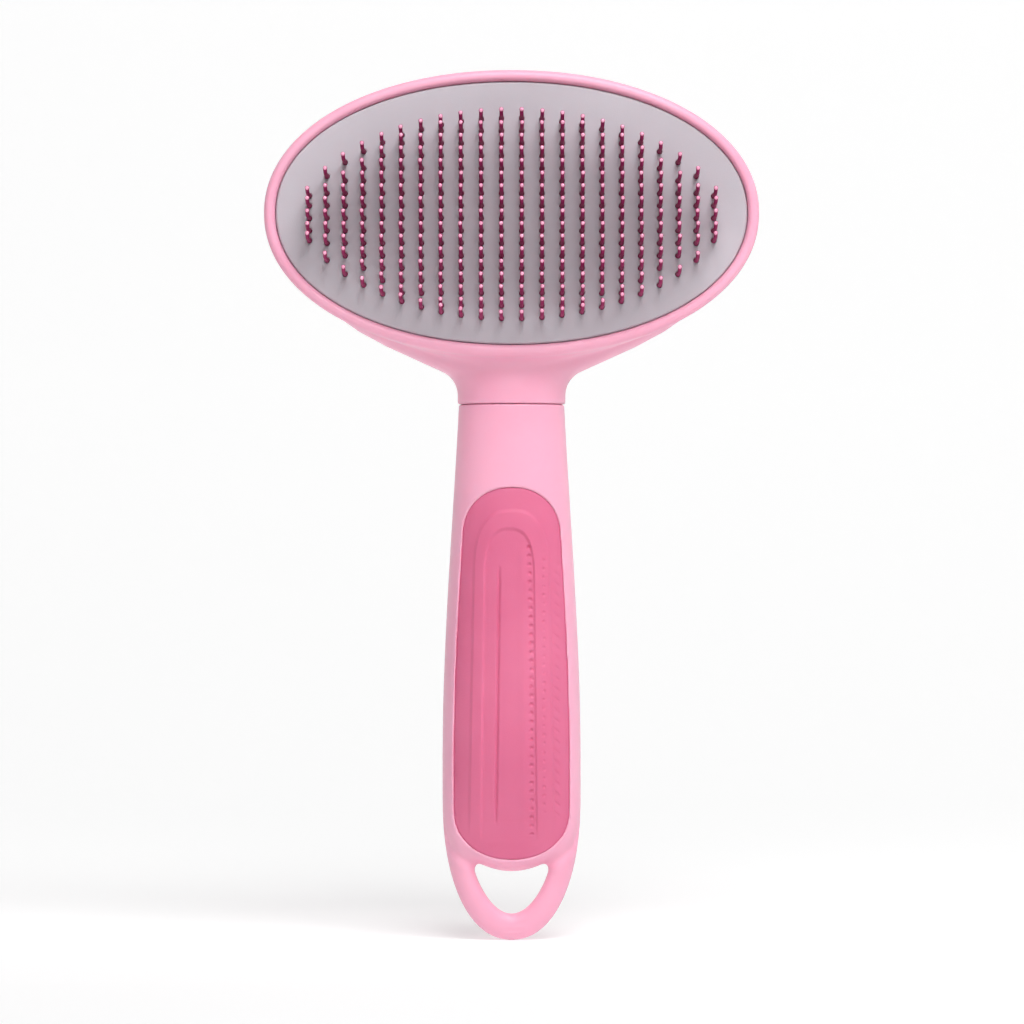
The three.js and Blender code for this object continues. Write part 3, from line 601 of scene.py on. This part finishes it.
def grip_half_width(z):
    """Half the soft grip's width, closing in a rounded end at each end."""
    to_end = np.minimum(np.asarray(z) - GRIP_LOW[2], GRIP_HIGH[2] - np.asarray(z))
    into = np.clip(1 - to_end / GRIP_END, 0, 1)
    closed = np.maximum(1 - into**GRIP_POWER, 0) ** (1 / GRIP_POWER)
    return (handle_half_width(z) - GRIP_FRAME) * closed


def grip_edge(x, z):
    """Distance to the soft grip's outline, negative inside."""
    to_end = np.minimum(z - GRIP_LOW[2], GRIP_HIGH[2] - z)
    into = np.maximum(1 - to_end / GRIP_END, 0)
    half_width = np.maximum(handle_half_width(z) - GRIP_FRAME, 1)
    reach = ((np.abs(x) / half_width) ** GRIP_POWER + into**GRIP_POWER) ** (1 / GRIP_POWER)
    return reach * half_width - half_width


def handle_field(x, y, z, step):
    """Distance to the handle's solid, before the eye and the grips are let in."""
    side = across_handle(x, z).astype(np.float32)
    half_depth = handle_half_depth(z).astype(np.float32)
    body = (side**CROSS_POWER + np.abs(y / half_depth) ** CROSS_POWER) ** (1 / CROSS_POWER) - 1
    return as_distance(body * half_depth, step)


def eye_field(x, z, step):
    """Distance to the hanging eye: a rounded wedge, point down, under a hanging roof."""
    drop = np.maximum(FOOT + EYE_TOP - z, 0)
    wedge = (np.abs(x) / EYE_HALF_WIDTH) ** 2 + (drop / EYE_DROP) ** EYE_TAPER - 1
    roof = z - (FOOT + EYE_TOP + 0.1 + ROOF_RISE * (x / ROOF_REACH) ** 2)
    return both(flat_distance(wedge * 4, step), roof, EYE_CORNER)


def grip_bed(body, edge):
    """The recess that a grip lies in."""
    return both(edge + 0 * body, -(body + GRIP_RECESS + GRIP_THICKNESS), INNER_ROUND)


def make_handle_half(side, name, node):
    """One half of the handle's shell, with the loop and the grip's bed; side is -1 in front."""
    step = 0.36
    deepest = HANDLE_HALF_DEPTH + 1
    low = np.array([-17.5, -deepest if side < 0 else -1, FOOT - 1])
    high = np.array([17.5, 1 if side < 0 else deepest, SEAM + 1])
    x, y, z = axes_between(low, high, step)
    body = handle_field(x, y, z, step)
    edge = flat_distance(grip_edge(x, z), step)
    valley = VALLEY_DEPTH * np.exp(-(((edge - VALLEY_AWAY) / VALLEY_SPREAD) ** 2))
    valley = valley * ramp(FOOT + VALLEY_TOP - z, 0, VALLEY_FADE)
    solid = cut(body + valley * (np.abs(y) > 2), eye_field(x, z, step) + 0 * body, EYE_ROUND)
    solid = cut(solid, grip_bed(body, edge), 0.45)
    solid = both(solid, z - (SEAM - SEAM_GAP) + 0 * body, SEAM_ROUND)
    solid = both(solid, -side * y + SPLIT + 0 * body, SPLIT_ROUND)
    obj = skin(name, solid, low, step, SHELL_PINK)
    show(obj, "brush", "pink_shell", node)


# ------------------------------------------------------------------ soft grips
ARCH_POWER = 2.6
ARCH_EDGE = 0.3  # width of the slope at an arch's edge
PATTERN_MIDDLE = 90  # height over the foot where the pattern has its plain width
DOT_PITCH = 2.0
TICK_PITCH = 2.4
GRIP_COLUMNS = 181
GRIP_ROWS = 431
GRIP_TURN = 0.18  # how far the sheet's edge turns down into its bed


def smooth_step(t):
    """Eases a 0 to 1 value in and out."""
    return t * t * (3 - 2 * t)


def arch(x, z, centre, half_width, top, cap):
    """1 inside an arch that is open at its foot, falling to 0 over a soft edge."""
    up = np.maximum(z - (top - cap), 0) / cap
    reach = ((np.abs(x - centre) / half_width) ** ARCH_POWER + up**ARCH_POWER) ** (1 / ARCH_POWER)
    gap = (1 - reach) * half_width
    return smooth_step(np.clip(gap / ARCH_EDGE * 0.5 + 0.5, 0, 1))


def fade(z, low, high, soft):
    """1 between two heights, falling to 0 outside them."""
    return np.clip((z - low) / soft, 0, 1) * np.clip((high - z) / soft, 0, 1)


def line_groove(x, z, path_x, low, high, half_width):
    """A groove along x = path_x, as wide as twice half_width, between two heights."""
    across = np.exp(-(((x - path_x) / half_width) ** 2))
    return across * fade(z, low, high, 3)


def dot_row(x, z, path_x, low, high, radius):
    """A row of small round pits."""
    along = (z - low + DOT_PITCH / 2) % DOT_PITCH - DOT_PITCH / 2
    near = np.sqrt((x - path_x) ** 2 + along**2)
    return np.clip(1.3 - near / radius, 0, 1) * ((z > low) & (z < high))


def tick_row(x, z, middle, low, high):
    """A column of short slanted cuts."""
    across = x - middle
    slant = (z + 0.8 * (across + 0.4)) % TICK_PITCH - TICK_PITCH / 2
    tick = np.clip(1.2 - np.abs(slant) / 0.3, 0, 1) * np.clip(1.2 - np.abs(across) / 0.9, 0, 1)
    return tick * fade(z, low, high, 1)


def grip_relief(x, z):
    """Height of the grip's moulded pattern above its plain surface, in millimetres."""
    h = z - FOOT
    below = PATTERN_MIDDLE - h
    arch_x = x / (1 + 0.0022 * below)  # the pattern widens towards the foot with the handle
    raised = arch(arch_x, h, centre=0.0, half_width=8.6, top=99.4, cap=14) * fade(h, 24, 120, 6)
    sunk = arch(arch_x, h, centre=-0.5, half_width=5.6, top=95.2, cap=11) * fade(h, 23, 120, 5)
    relief = 0.34 * raised - 0.5 * sunk
    relief -= 0.5 * line_groove(x, h, -2.798 - 0.013 * below, low=27, high=87, half_width=0.3)
    relief += 0.16 * line_groove(x, h, 2.6 + 0.008 * below, low=24, high=92, half_width=1.1)
    inner_row = 4.49 - 0.0006 * np.maximum(h - 60, 0) ** 2 + 0.002 * below
    relief -= 0.4 * dot_row(x, h, inner_row, low=25, high=92, radius=0.45)
    relief -= 0.2 * dot_row(x, h, 7.4, low=30, high=90, radius=0.4)
    relief -= 0.26 * tick_row(x, h, 10.4, low=28, high=88)
    return relief


def grip_sheets():
    """Points of a front grip's outer and under sheet as arrays of x, depth and height."""
    across = np.linspace(-1, 1, GRIP_COLUMNS)
    t = np.linspace(0, 1, GRIP_ROWS)
    crowded = 0.75 * t + 0.25 * (0.5 - 0.5 * np.cos(math.pi * t))  # rows stand closer at the ends
    z = (GRIP_LOW[2] + (GRIP_HIGH[2] - GRIP_LOW[2]) * crowded)[:, None]
    x = across[None, :] * (grip_half_width(z) + 0.12)
    side_way = across_handle(x, z, GRIP_RECESS)
    section = np.maximum(1 - side_way**CROSS_POWER, 0) ** (1 / CROSS_POWER)
    surface = (handle_half_depth(z) - GRIP_RECESS) * section
    to_edge = -grip_edge(x, z)
    turned = GRIP_TURN * np.clip(1 - to_edge / 0.4, 0, 1) ** 2
    relief = grip_relief(x, z) * np.clip(to_edge / 1.2, 0, 1)
    heights = np.broadcast_to(z, x.shape)
    return (x, surface + relief - turned, heights), (x, surface - GRIP_THICKNESS, heights)


def sheet_border(columns, rows):
    """Points round the edge of a sheet of rows and columns, in order."""
    border = list(range(columns))
    border += [r * columns + columns - 1 for r in range(1, rows)]
    border += [(rows - 1) * columns + c for c in range(columns - 2, -1, -1)]
    border += [r * columns for r in range(rows - 2, 0, -1)]
    return border


def make_grip(side, name, node):
    """A soft pad over the handle's curve, turned down into its bed; side is -1 in front."""
    sheets = [np.stack([x, side * depth, z], axis=-1).reshape(-1, 3) for x, depth, z in grip_sheets()]
    count = len(sheets[0])
    faces = []
    for r in range(GRIP_ROWS - 1):
        for c in range(GRIP_COLUMNS - 1):
            a = r * GRIP_COLUMNS + c
            quad = (a, a + 1, a + 1 + GRIP_COLUMNS, a + GRIP_COLUMNS)
            faces.append(quad)
            faces.append(tuple(v + count for v in quad[::-1]))
    border = sheet_border(GRIP_COLUMNS, GRIP_ROWS)
    for a, b in zip(border, border[1:] + border[:1]):
        faces.append((b, a, a + count, b + count))
    if side > 0:
        faces = [face[::-1] for face in faces]
    obj = make_mesh(name, np.concatenate(sheets), faces, GRIP_PINK)
    weld = obj.modifiers.new("weld", "WELD")
    weld.merge_threshold = 0.00001
    show(obj, "brush", "soft_grip", node)


# ------------------------------------------------------------------ face plate
BEND_START = -22.0  # ahead of this depth a pin curves up, beyond the reach of the sliding plate
BEND = 0.0163
PLATE_HOLE = 0.66
ROOT_RADIUS = 0.59  # the coating runs thicker where a pin leaves the plate
SHAFT_RADIUS = 0.44
SHAFT_SIDES = 10
BALL_RADIUS = 0.53
BALL_SIDES = 12
BALL_LEVELS = 7
PLATE_BEVEL = 0.5
PLATE_EDGE_COUNT = 240
HOLE_EASE = 0.1  # countersink of each hole
HOLE_COUNT = 14
POST_RADIUS = 1.8
POST_SIDES = 20
# The third slot is a painted highlight, a lighter colour on each ball's outer cap.
SHAFT, BALL, TIP_HIGHLIGHT = 0, 1, 2  # material slots of a pin


def pins_of(node):
    """Middle (x, z) of each pin of one CAD column, and the depth of the pins' tips."""
    points = np.array([v.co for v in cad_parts[node].data.vertices]) / MM
    tip = points[:, 1].min()
    ends = points[points[:, 1] < tip + 0.01]
    heights = np.sort(np.unique(ends[:, 2].round(3)))
    middles = (heights[0::2] + heights[1::2]) / 2
    return (ends[:, 0].min() + ends[:, 0].max()) / 2, middles, tip


COLUMN_NODES = sorted(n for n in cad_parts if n.startswith("bristle_column_"))
COLUMNS = [pins_of(node) for node in COLUMN_NODES]


def ring_points(half_width, half_height, power, count, cx=0.0, cz=0.0):
    """Points round a superellipse, as rows of x and z."""
    angles = np.arange(count) * 2 * math.pi / count
    c = np.cos(angles)
    s = np.sin(angles)
    x = cx + half_width * np.sign(c) * np.abs(c) ** (2 / power)
    z = cz + half_height * np.sign(s) * np.abs(s) ** (2 / power)
    return np.stack([x, z], axis=1)


def circle(radius, count, cx, cz):
    """Points round a circle, as rows of x and z."""
    return ring_points(radius, radius, 2, count, cx, cz)


def plate_outline(inset):
    """Points round the face plate, set in from its full size."""
    half_width = HEAD_HALF_WIDTH - PLATE_INSET - inset
    half_height = HEAD_HALF_HEIGHT - PLATE_INSET - inset
    return ring_points(half_width, half_height, HEAD_POWER, PLATE_EDGE_COUNT, 0, HEAD_CENTRE)


def plate_face(centres):
    """Points, faces and rings of the flat face: a sheet with its outer edge and a hole for each pin."""
    points = [tuple(p) for p in plate_outline(PLATE_BEVEL)]
    rings = [list(range(PLATE_EDGE_COUNT))]
    for cx, cz in centres:
        start = len(points)
        points += [tuple(p) for p in circle(PLATE_HOLE + HOLE_EASE, HOLE_COUNT, cx, cz)]
        rings.append(list(range(start, start + HOLE_COUNT)))
    edges = [(ring[n], ring[(n + 1) % len(ring)]) for ring in rings for n in range(len(ring))]
    flat, _, faces, origin, _, _ = delaunay_2d_cdt([Vector(p) for p in points], edges, [], 0, 1e-6)
    flat = np.array([tuple(v) for v in flat])
    middles = np.array([flat[list(f)].mean(axis=0) for f in faces])
    apart = middles[:, None, :] - np.array(centres)[None, :, :]
    to_hole = np.sqrt((apart**2).sum(axis=2)).min(axis=1)
    half_width = HEAD_HALF_WIDTH - PLATE_INSET - PLATE_BEVEL
    half_height = HEAD_HALF_HEIGHT - PLATE_INSET - PLATE_BEVEL
    outside = superellipse_field(
        middles[:, 0], middles[:, 1] - HEAD_CENTRE, half_width, half_height, HEAD_POWER
    )
    solid = (to_hole > PLATE_HOLE + HOLE_EASE / 2) & (outside < 0.02)
    kept = [tuple(f) for f, keep in zip(faces, solid) if keep]
    place = {old: new for new, olds in enumerate(origin) for old in olds}
    return flat, kept, [[place[old] for old in ring] for ring in rings]


def add_wall(vertices, faces, ring, steps, back_shift, inward):
    """Joins a ring of the plate's front to the same ring of its back through steps of points."""
    levels = [ring]
    for points, depth in steps:
        levels.append(list(range(len(vertices), len(vertices) + len(points))))
        vertices.extend((p[0], PLATE_FRONT + depth, p[1]) for p in points)
    levels.append([v + back_shift for v in ring])
    for near, far in zip(levels, levels[1:]):
        for n in range(len(ring)):
            m = (n + 1) % len(ring)
            quad = (near[n], near[m], far[m], far[n])
            faces.append(quad if inward else quad[::-1])


def add_post(vertices, faces, cx, cz):
    """A round post behind the plate, flared where it meets the plate."""
    back = PLATE_FRONT + PLATE_THICKNESS
    post_back = PLATE_HIGH[1]
    levels = [back - 0.3, back + 0.2, post_back - 0.3, post_back]
    radii = [POST_RADIUS + 0.4, POST_RADIUS, POST_RADIUS, POST_RADIUS - 0.25]
    start = len(vertices)
    for depth, radius in zip(levels, radii):
        vertices.extend((p[0], depth, p[1]) for p in circle(radius, POST_SIDES, cx, cz))
    add_tube(faces, start, len(levels), POST_SIDES)
    faces.append(tuple(range(start, start + POST_SIDES)))
    last = start + (len(levels) - 1) * POST_SIDES
    faces.append(tuple(range(last, last + POST_SIDES)))


def add_tube(faces, start, levels, sides):
    """Quads between rings of points that follow one another."""
    for level in range(levels - 1):
        for n in range(sides):
            a = start + level * sides + n
            b = start + level * sides + (n + 1) % sides
            faces.append((a, b, b + sides, a + sides))


def make_face_plate():
    """A flat plate with an eased outer edge, a countersunk hole for each pin and four posts."""
    centres = [(x, z) for x, heights, _ in COLUMNS for z in heights]
    flat, kept, rings = plate_face(centres)
    back = PLATE_FRONT + PLATE_THICKNESS
    count = len(flat)
    vertices = [(p[0], PLATE_FRONT, p[1]) for p in flat] + [(p[0], back, p[1]) for p in flat]
    faces = kept + [tuple(v + count for v in reversed(f)) for f in kept]
    flat_faces = len(faces)

    full = plate_outline(0)
    shoulder = PLATE_BEVEL * 0.3
    edge_steps = [
        (plate_outline(shoulder), shoulder),
        (full, PLATE_BEVEL),
        (full, PLATE_THICKNESS - PLATE_BEVEL),
    ]
    add_wall(vertices, faces, rings[0], edge_steps, count, inward=False)
    for (cx, cz), ring in zip(centres, rings[1:]):
        small = circle(PLATE_HOLE, HOLE_COUNT, cx, cz)
        steps = [
            (circle(PLATE_HOLE + HOLE_EASE * 0.3, HOLE_COUNT, cx, cz), HOLE_EASE * 0.4),
            (small, HOLE_EASE),
            (small, PLATE_THICKNESS - HOLE_EASE),
        ]
        add_wall(vertices, faces, ring, steps, count, inward=True)

    carrier_screws = screw_places([f"carrier_screw_{n}" for n in (1, 2, 3)])
    post_x = carrier_screws[1][0]
    for cx in (-post_x, post_x):
        for cz in sorted({round(carrier_screws[n][1], 2) for n in (0, 2)}):
            add_post(vertices, faces, cx, cz)
    obj = make_mesh("face_plate_shown", vertices, faces, FACE_GREY, smooth=False)
    mesh = obj.data
    mesh.polygons.foreach_set("use_smooth", [n >= flat_faces for n in range(len(mesh.polygons))])
    show(obj, "ejector", "face_grey", "face_plate")


# ------------------------------------------------------------------ pins
def pin_middle(cx, cz, depth, lean):
    """Middle of a pin at a depth: straight as far as the plate slides, then curved upwards."""
    ahead = max(BEND_START - depth, 0)
    return cx + lean * ahead, cz + BEND * ahead**3


def add_shaft(cx, cz, tip, lean, vertices, faces, kinds):
    """One round wire with a thicker root where it leaves the plate."""
    root = BASE_LOW[1] + 1.4
    thick_end = PLATE_FRONT - 0.3
    thin_start = PLATE_FRONT - 2.6
    bend = np.linspace(BEND_START, tip + BALL_RADIUS, 7)
    depths = [root, thick_end, thick_end - 1, thin_start, *bend]
    radii = np.interp(depths, [thin_start, thick_end], [SHAFT_RADIUS, ROOT_RADIUS])
    start = len(vertices)
    for depth, radius in zip(depths, radii):
        x, z = pin_middle(cx, cz, depth, lean)
        for n in range(SHAFT_SIDES):
            angle = 2 * math.pi * n / SHAFT_SIDES
            vertices.append((x + radius * math.cos(angle), depth, z + radius * math.sin(angle)))
    before = len(faces)
    add_tube(faces, start, len(depths), SHAFT_SIDES)
    faces.append(tuple(range(start, start + SHAFT_SIDES))[::-1])
    last = start + (len(depths) - 1) * SHAFT_SIDES
    faces.append(tuple(range(last, last + SHAFT_SIDES)))
    kinds.extend([SHAFT] * (len(faces) - before))


def add_ball(cx, cz, tip, lean, vertices, faces, kinds):
    """The ball on a pin's end, its outermost cap painted light pink as a highlight."""
    x, z = pin_middle(cx, cz, tip + BALL_RADIUS, lean)
    pole = len(vertices)
    first = pole + 1
    vertices.append((x, tip + 2 * BALL_RADIUS, z))
    for level in range(1, BALL_LEVELS):
        polar = math.pi * level / BALL_LEVELS
        ring_radius = BALL_RADIUS * math.sin(polar)
        depth = tip + BALL_RADIUS * (1 + math.cos(polar))
        for n in range(BALL_SIDES):
            angle = 2 * math.pi * n / BALL_SIDES
            vertices.append((x + ring_radius * math.cos(angle), depth, z + ring_radius * math.sin(angle)))
    vertices.append((x, tip, z))
    end = len(vertices) - 1
    for n in range(BALL_SIDES):
        m = (n + 1) % BALL_SIDES
        faces.append((pole, first + m, first + n))
        kinds.append(BALL)
        for level in range(BALL_LEVELS - 2):
            a = first + level * BALL_SIDES
            faces.append((a + n, a + m, a + BALL_SIDES + m, a + BALL_SIDES + n))
            # The outermost rings and the end cap get the painted highlight.
            kinds.append(BALL if level < BALL_LEVELS - 3 else TIP_HIGHLIGHT)
        a = first + (BALL_LEVELS - 2) * BALL_SIDES
        faces.append((a + n, a + m, end))
        kinds.append(TIP_HIGHLIGHT)


def make_pins():
    """One mesh for each column of pins, every pin leaning a little its own way."""
    random = np.random.default_rng(7)
    for number, (node, (cx, heights, tip)) in enumerate(zip(COLUMN_NODES, COLUMNS), start=1):
        vertices, faces, kinds = [], [], []
        for cz in heights:
            lean = random.normal(0, 0.012)
            add_shaft(cx, cz, tip, lean, vertices, faces, kinds)
            add_ball(cx, cz, tip, lean, vertices, faces, kinds)
        obj = make_mesh(f"pins_{number:02d}", vertices, faces, PIN_SHAFT)
        obj.data.materials.append(PIN_BALL)
        obj.data.materials.append(PIN_TIP_HIGHLIGHT)
        obj.data.polygons.foreach_set("material_index", kinds)
        show(obj, "brush", "coated_pin", node)


# ------------------------------------------------------------------ button and screws
DISH_RADIUS = 78
RIB_PITCH = 2.3
SCREW_DOME = 4.2  # radius of a screw head's dome
SCREW_HEAD_RADIUS = 2.05
SCREW_SHAFT_RADIUS = 0.9
THREAD_PITCH = 0.9
THREAD_DEPTH = 0.12
CROSS_HALF_WIDTH = 0.3
CROSS_REACH = 1.15
CROSS_DEPTH = 0.8


def rounded_oval(x, up, grow, depth_limit, rounding):
    """The button's oval, grown by some millimetres and cut off by a depth field."""
    outline = superellipse_field(x, up, BUTTON_HALF_WIDTH + grow, BUTTON_HALF_HEIGHT + grow, BUTTON_POWER)
    return both(outline + 0 * depth_limit, depth_limit + 0 * outline, rounding)


def make_button():
    """The thumb button: a dished oval cap with five ribs, hollow inside, on a flange."""
    step = 0.3
    low = BUTTON_LOW - 1
    x, y, z = axes_between(low, BUTTON_HIGH + 1, step)
    up = z - HEAD_CENTRE
    top = BUTTON_HIGH[1]
    cap = rounded_oval(x, up, 0, y - top, 3.0)
    dish = np.sqrt(x**2 + (y - top - DISH_RADIUS) ** 2 + (up * 1.5) ** 2) - DISH_RADIUS - 0.7
    cap = cut(cap, dish, 1.0)
    for rib in (-2, -1, 0, 1, 2):
        bar = np.sqrt((up - rib * RIB_PITCH) ** 2 + (y - top + 0.75) ** 2) - 0.5
        bar = both(bar + 0 * x, np.abs(x) - 7.5 + 0.7 * abs(rib) + 0 * bar, 0.6)
        cap = either(cap, bar, 0.5)
    cap = either(cap, rounded_oval(x, up, BUTTON_FLANGE, y - (BUTTON_LOW[1] + 1.5), 0.4), 0.6)
    cap = both(cap, BUTTON_LOW[1] - y + 0 * cap, 0.3)
    cap = cut(cap, rounded_oval(x, up, -HEAD_WALL, y - (top - 2.2), 0.6), 0.3)
    obj = skin("button", cap, low, step, GRIP_PINK)
    show(obj, "ejector", "soft_grip", "thumb_button")


def cross_recess(across, up, body):
    """Two crossed slots, endless along Y."""
    arm_a = both(np.abs(across) - CROSS_HALF_WIDTH + 0 * body, np.abs(up) - CROSS_REACH + 0 * body, 0.1)
    arm_b = both(np.abs(up) - CROSS_HALF_WIDTH + 0 * body, np.abs(across) - CROSS_REACH + 0 * body, 0.1)
    return np.minimum(arm_a, arm_b)


def make_screw(name, cx, cz, head_top, thickness, length, node):
    """A pan-head screw with a cross recess, its head towards +Y."""
    step = 0.14
    shaft_end = head_top - length
    low = np.array([cx - 2.6, shaft_end - 0.5, cz - 2.6])
    high = np.array([cx + 2.6, head_top + 0.5, cz + 2.6])
    x, y, z = axes_between(low, high, step)
    across = x - cx
    up = z - cz
    radial = np.sqrt(across**2 + up**2)
    dome = np.sqrt(across**2 + up**2 + (y - head_top + SCREW_DOME) ** 2) - SCREW_DOME
    head = both(radial - SCREW_HEAD_RADIUS + 0 * y, dome, 0.3)
    head = both(head, head_top - thickness - y + 0 * head, 0.15)
    neck = y - head_top + thickness
    shaft = both(radial - SCREW_SHAFT_RADIUS + 0 * y, neck - 0.4 + 0 * radial, 0.2)
    thread = THREAD_DEPTH * np.cos(2 * math.pi * (y / THREAD_PITCH) + np.arctan2(up, across))
    shaft = both(shaft + thread * (neck < -0.5), shaft_end - y + 0 * shaft, 0.4)
    body = np.minimum(head, shaft)
    recess = both(cross_recess(across, up, body), head_top - CROSS_DEPTH - y + 0 * body, INNER_ROUND)
    obj = skin(name, cut(body, recess, 0.12), low, step, STEEL)
    show(obj, "brush", "steel", node)


def make_screws():
    """The screws that can be seen from behind."""
    for n, (cx, cz, head_top) in enumerate(HEAD_SCREWS, start=1):
        make_screw(f"cover_screw_{n}", cx, cz, head_top, 1.9, 6, f"head_screw_{n}")
    cx, cz, head_top = NECK_SCREW
    make_screw("back_neck_screw", cx, cz, head_top, 1.1, 5, "neck_screw")


# ------------------------------------------------------------------ springs and inner CAD nodes
WIRE_RADIUS = 0.42
WIRE_SIDES = 8
SPRING_TURNS = 8.5
SPRING_STEPS = 260
END_RISE = 0.042  # share of the length that each closed end takes up


def make_spring(name, node):
    """A round-wire coil with closed ends, built at the length of its CAD node; the real spring shortens
    as the button is pressed.
    """
    low, high = box_mm(node)
    cx = (low[0] + high[0]) / 2
    cz = (low[2] + high[2]) / 2
    radius = (high[0] - low[0]) / 2 - WIRE_RADIUS
    length = high[1] - low[1] - 2 * WIRE_RADIUS
    closed = 1.3 / SPRING_TURNS
    vertices, faces = [], []
    for n in range(SPRING_STEPS + 1):
        t = n / SPRING_STEPS
        angle = 2 * math.pi * SPRING_TURNS * t
        along = np.interp(t, [0, closed, 1 - closed, 1], [0, END_RISE, 1 - END_RISE, 1])
        outward = np.array([math.cos(angle), 0, math.sin(angle)])
        centre = np.array([cx, low[1] + WIRE_RADIUS + length * along, cz]) + radius * outward
        for k in range(WIRE_SIDES):
            turn = 2 * math.pi * k / WIRE_SIDES
            ring = math.cos(turn) * outward + math.sin(turn) * np.array([0, 1, 0])
            vertices.append(tuple(centre + WIRE_RADIUS * ring))
    add_tube(faces, 0, SPRING_STEPS + 1, WIRE_SIDES)
    faces.append(tuple(range(WIRE_SIDES))[::-1])
    faces.append(tuple(SPRING_STEPS * WIRE_SIDES + k for k in range(WIRE_SIDES)))
    obj = make_mesh(name, vertices, faces, STEEL)
    show(obj, "brush", "steel", node)
    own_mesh(obj)


def dress_cad_nodes():
    """Gives every CAD node that is still shown its procedural material."""
    for name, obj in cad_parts.items():
        if "screw" in name:
            material = STEEL
        elif name in ("bristle_base_plate", "button_carrier"):
            material = INNER_WHITE
        else:
            material = SHELL_PINK
        obj.data.materials.clear()
        obj.data.materials.append(material)


# ------------------------------------------------------------------ studio
WORLD_LIGHT = 0.02
FRONT_GLOW = 0.2  # the paper's glow well in front of the brush
FLOOR_GLOW = 0.34  # just in front of it
BEHIND_GLOW = 0.52  # just behind it
WALL_GLOW = 0.66
GLOW_SPAN = (-0.7, 1.0)  # metres along Y from the dimmest floor to the brightest wall
GLOW_RISE = 0.28  # share of the span where the floor reaches its full glow
GLOW_LEVEL = 0.45  # share of the span just behind the brush
LIGHTS = [  # name, place in metres, width in metres, watts
    ("key", (0.75, -0.85, 0.95), 0.7, 4.0),
    ("top", (0.12, -0.5, 0.72), 0.5, 5.0),
    ("front", (0.06, -1.7, 0.9), 0.9, 9.8),
    ("side", (1.3, -0.2, 0.5), 0.8, 0.9),
]
LIGHT_AIM = Vector((0, 0, 0.04))
CAMERA_DISTANCE = 1.1  # metres, from the rim's front
SEEN_WIDTH = 0.2338  # metres, what the picture takes in at the rim's front
CAMERA_HEIGHT = 99.06  # millimetres above the loop's foot
STAGE_HALF_WIDTH = 6.0
STAGE_FRONT = -5.0
STAGE_BACK = 1.2
STAGE_TOP = 2.4
SWEEP_RADIUS = 0.6
SWEEP_STEPS = 12


def make_paper():
    """White paper with a faint glow, which fades out in front and grows towards the backdrop."""
    material, tree, shader = new_material("paper", (0.58, 0.58, 0.58), 0.9)
    shader.inputs["Specular IOR Level"].default_value = 0.0
    place = add(tree, "ShaderNodeTexCoord")
    parts = add(tree, "ShaderNodeSeparateXYZ")
    tree.links.new(place.outputs["Object"], parts.inputs["Vector"])
    place_y = spread(tree, parts.outputs["Y"], 0, 1, *GLOW_SPAN)
    stops = [(0.0, FRONT_GLOW), (GLOW_RISE, FLOOR_GLOW), (GLOW_LEVEL, BEHIND_GLOW), (1.0, WALL_GLOW)]
    glow = colour_ramp(tree, place_y, [(position, (level,) * 3) for position, level in stops])
    shader.inputs["Emission Strength"].default_value = 1
    tree.links.new(glow, shader.inputs["Emission Color"])
    return material


def make_stage():
    """A floor that sweeps up into a backdrop, pale and plain."""
    profile = [(STAGE_FRONT, 0.0)]
    for n in range(SWEEP_STEPS + 1):
        angle = math.pi / 2 * n / SWEEP_STEPS
        y = STAGE_BACK - SWEEP_RADIUS + SWEEP_RADIUS * math.sin(angle)
        profile.append((y, SWEEP_RADIUS - SWEEP_RADIUS * math.cos(angle)))
    profile.append((STAGE_BACK, STAGE_TOP))
    floor = (FOOT + 0.02) * MM  # a hair above the foot, so that no light leaks under it
    vertices = [(side * STAGE_HALF_WIDTH, y, floor + z) for side in (-1, 1) for y, z in profile]
    count = len(profile)
    faces = [(n + count, n + 1 + count, n + 1, n) for n in range(count - 1)]
    mesh = bpy.data.meshes.new("backdrop")
    mesh.from_pydata(vertices, [], faces)
    for polygon in mesh.polygons:
        polygon.use_smooth = True
    obj = bpy.data.objects.new("backdrop", mesh)
    bpy.context.scene.collection.objects.link(obj)
    mesh.materials.append(make_paper())


def add_light(name, place, size, power):
    """A round area light that points at the handle."""
    light = bpy.data.lights.new(name, "AREA")
    light.shape = "DISK"
    light.size = size
    light.energy = power
    obj = bpy.data.objects.new(name, light)
    obj.location = place
    obj.rotation_euler = (LIGHT_AIM - Vector(place)).to_track_quat("-Z", "Y").to_euler()
    bpy.context.scene.collection.objects.link(obj)


def make_world():
    """A world that is almost black, so that the lights and the paper do the lighting."""
    world = bpy.data.worlds.new("studio")
    world.use_nodes = True
    background = world.node_tree.nodes["Background"]
    background.inputs["Color"].default_value = (1, 1, 1, 1)
    background.inputs["Strength"].default_value = WORLD_LIGHT
    bpy.context.scene.world = world


def make_camera():
    """A level camera straight in front of the brush."""
    camera = bpy.data.cameras.new("camera")
    camera.sensor_width = 36
    camera.lens = camera.sensor_width * CAMERA_DISTANCE / SEEN_WIDTH
    camera.clip_end = 20
    obj = bpy.data.objects.new("camera", camera)
    obj.location = (0.0001, RIM_FRONT * MM - CAMERA_DISTANCE, (FOOT + CAMERA_HEIGHT) * MM)
    obj.rotation_euler = (math.pi / 2, 0, 0)
    bpy.context.scene.collection.objects.link(obj)
    bpy.context.scene.camera = obj
    bpy.context.scene.view_settings.view_transform = "Standard"


def make_studio():
    """Stage, lights, world and camera."""
    make_stage()
    for light in LIGHTS:
        add_light(*light)
    make_world()
    make_camera()


dress_cad_nodes()
make_head_front()
make_head_back()
make_handle_half(-1, "handle_front", "handle_front_shell")
make_handle_half(1, "handle_back", "handle_back_shell")
make_grip(-1, "grip_front", "front_grip")
make_grip(1, "grip_back", "back_grip")
make_face_plate()
make_pins()
make_button()
make_screws()
make_spring("spring_left", "return_spring_left")
make_spring("spring_right", "return_spring_right")
make_studio()
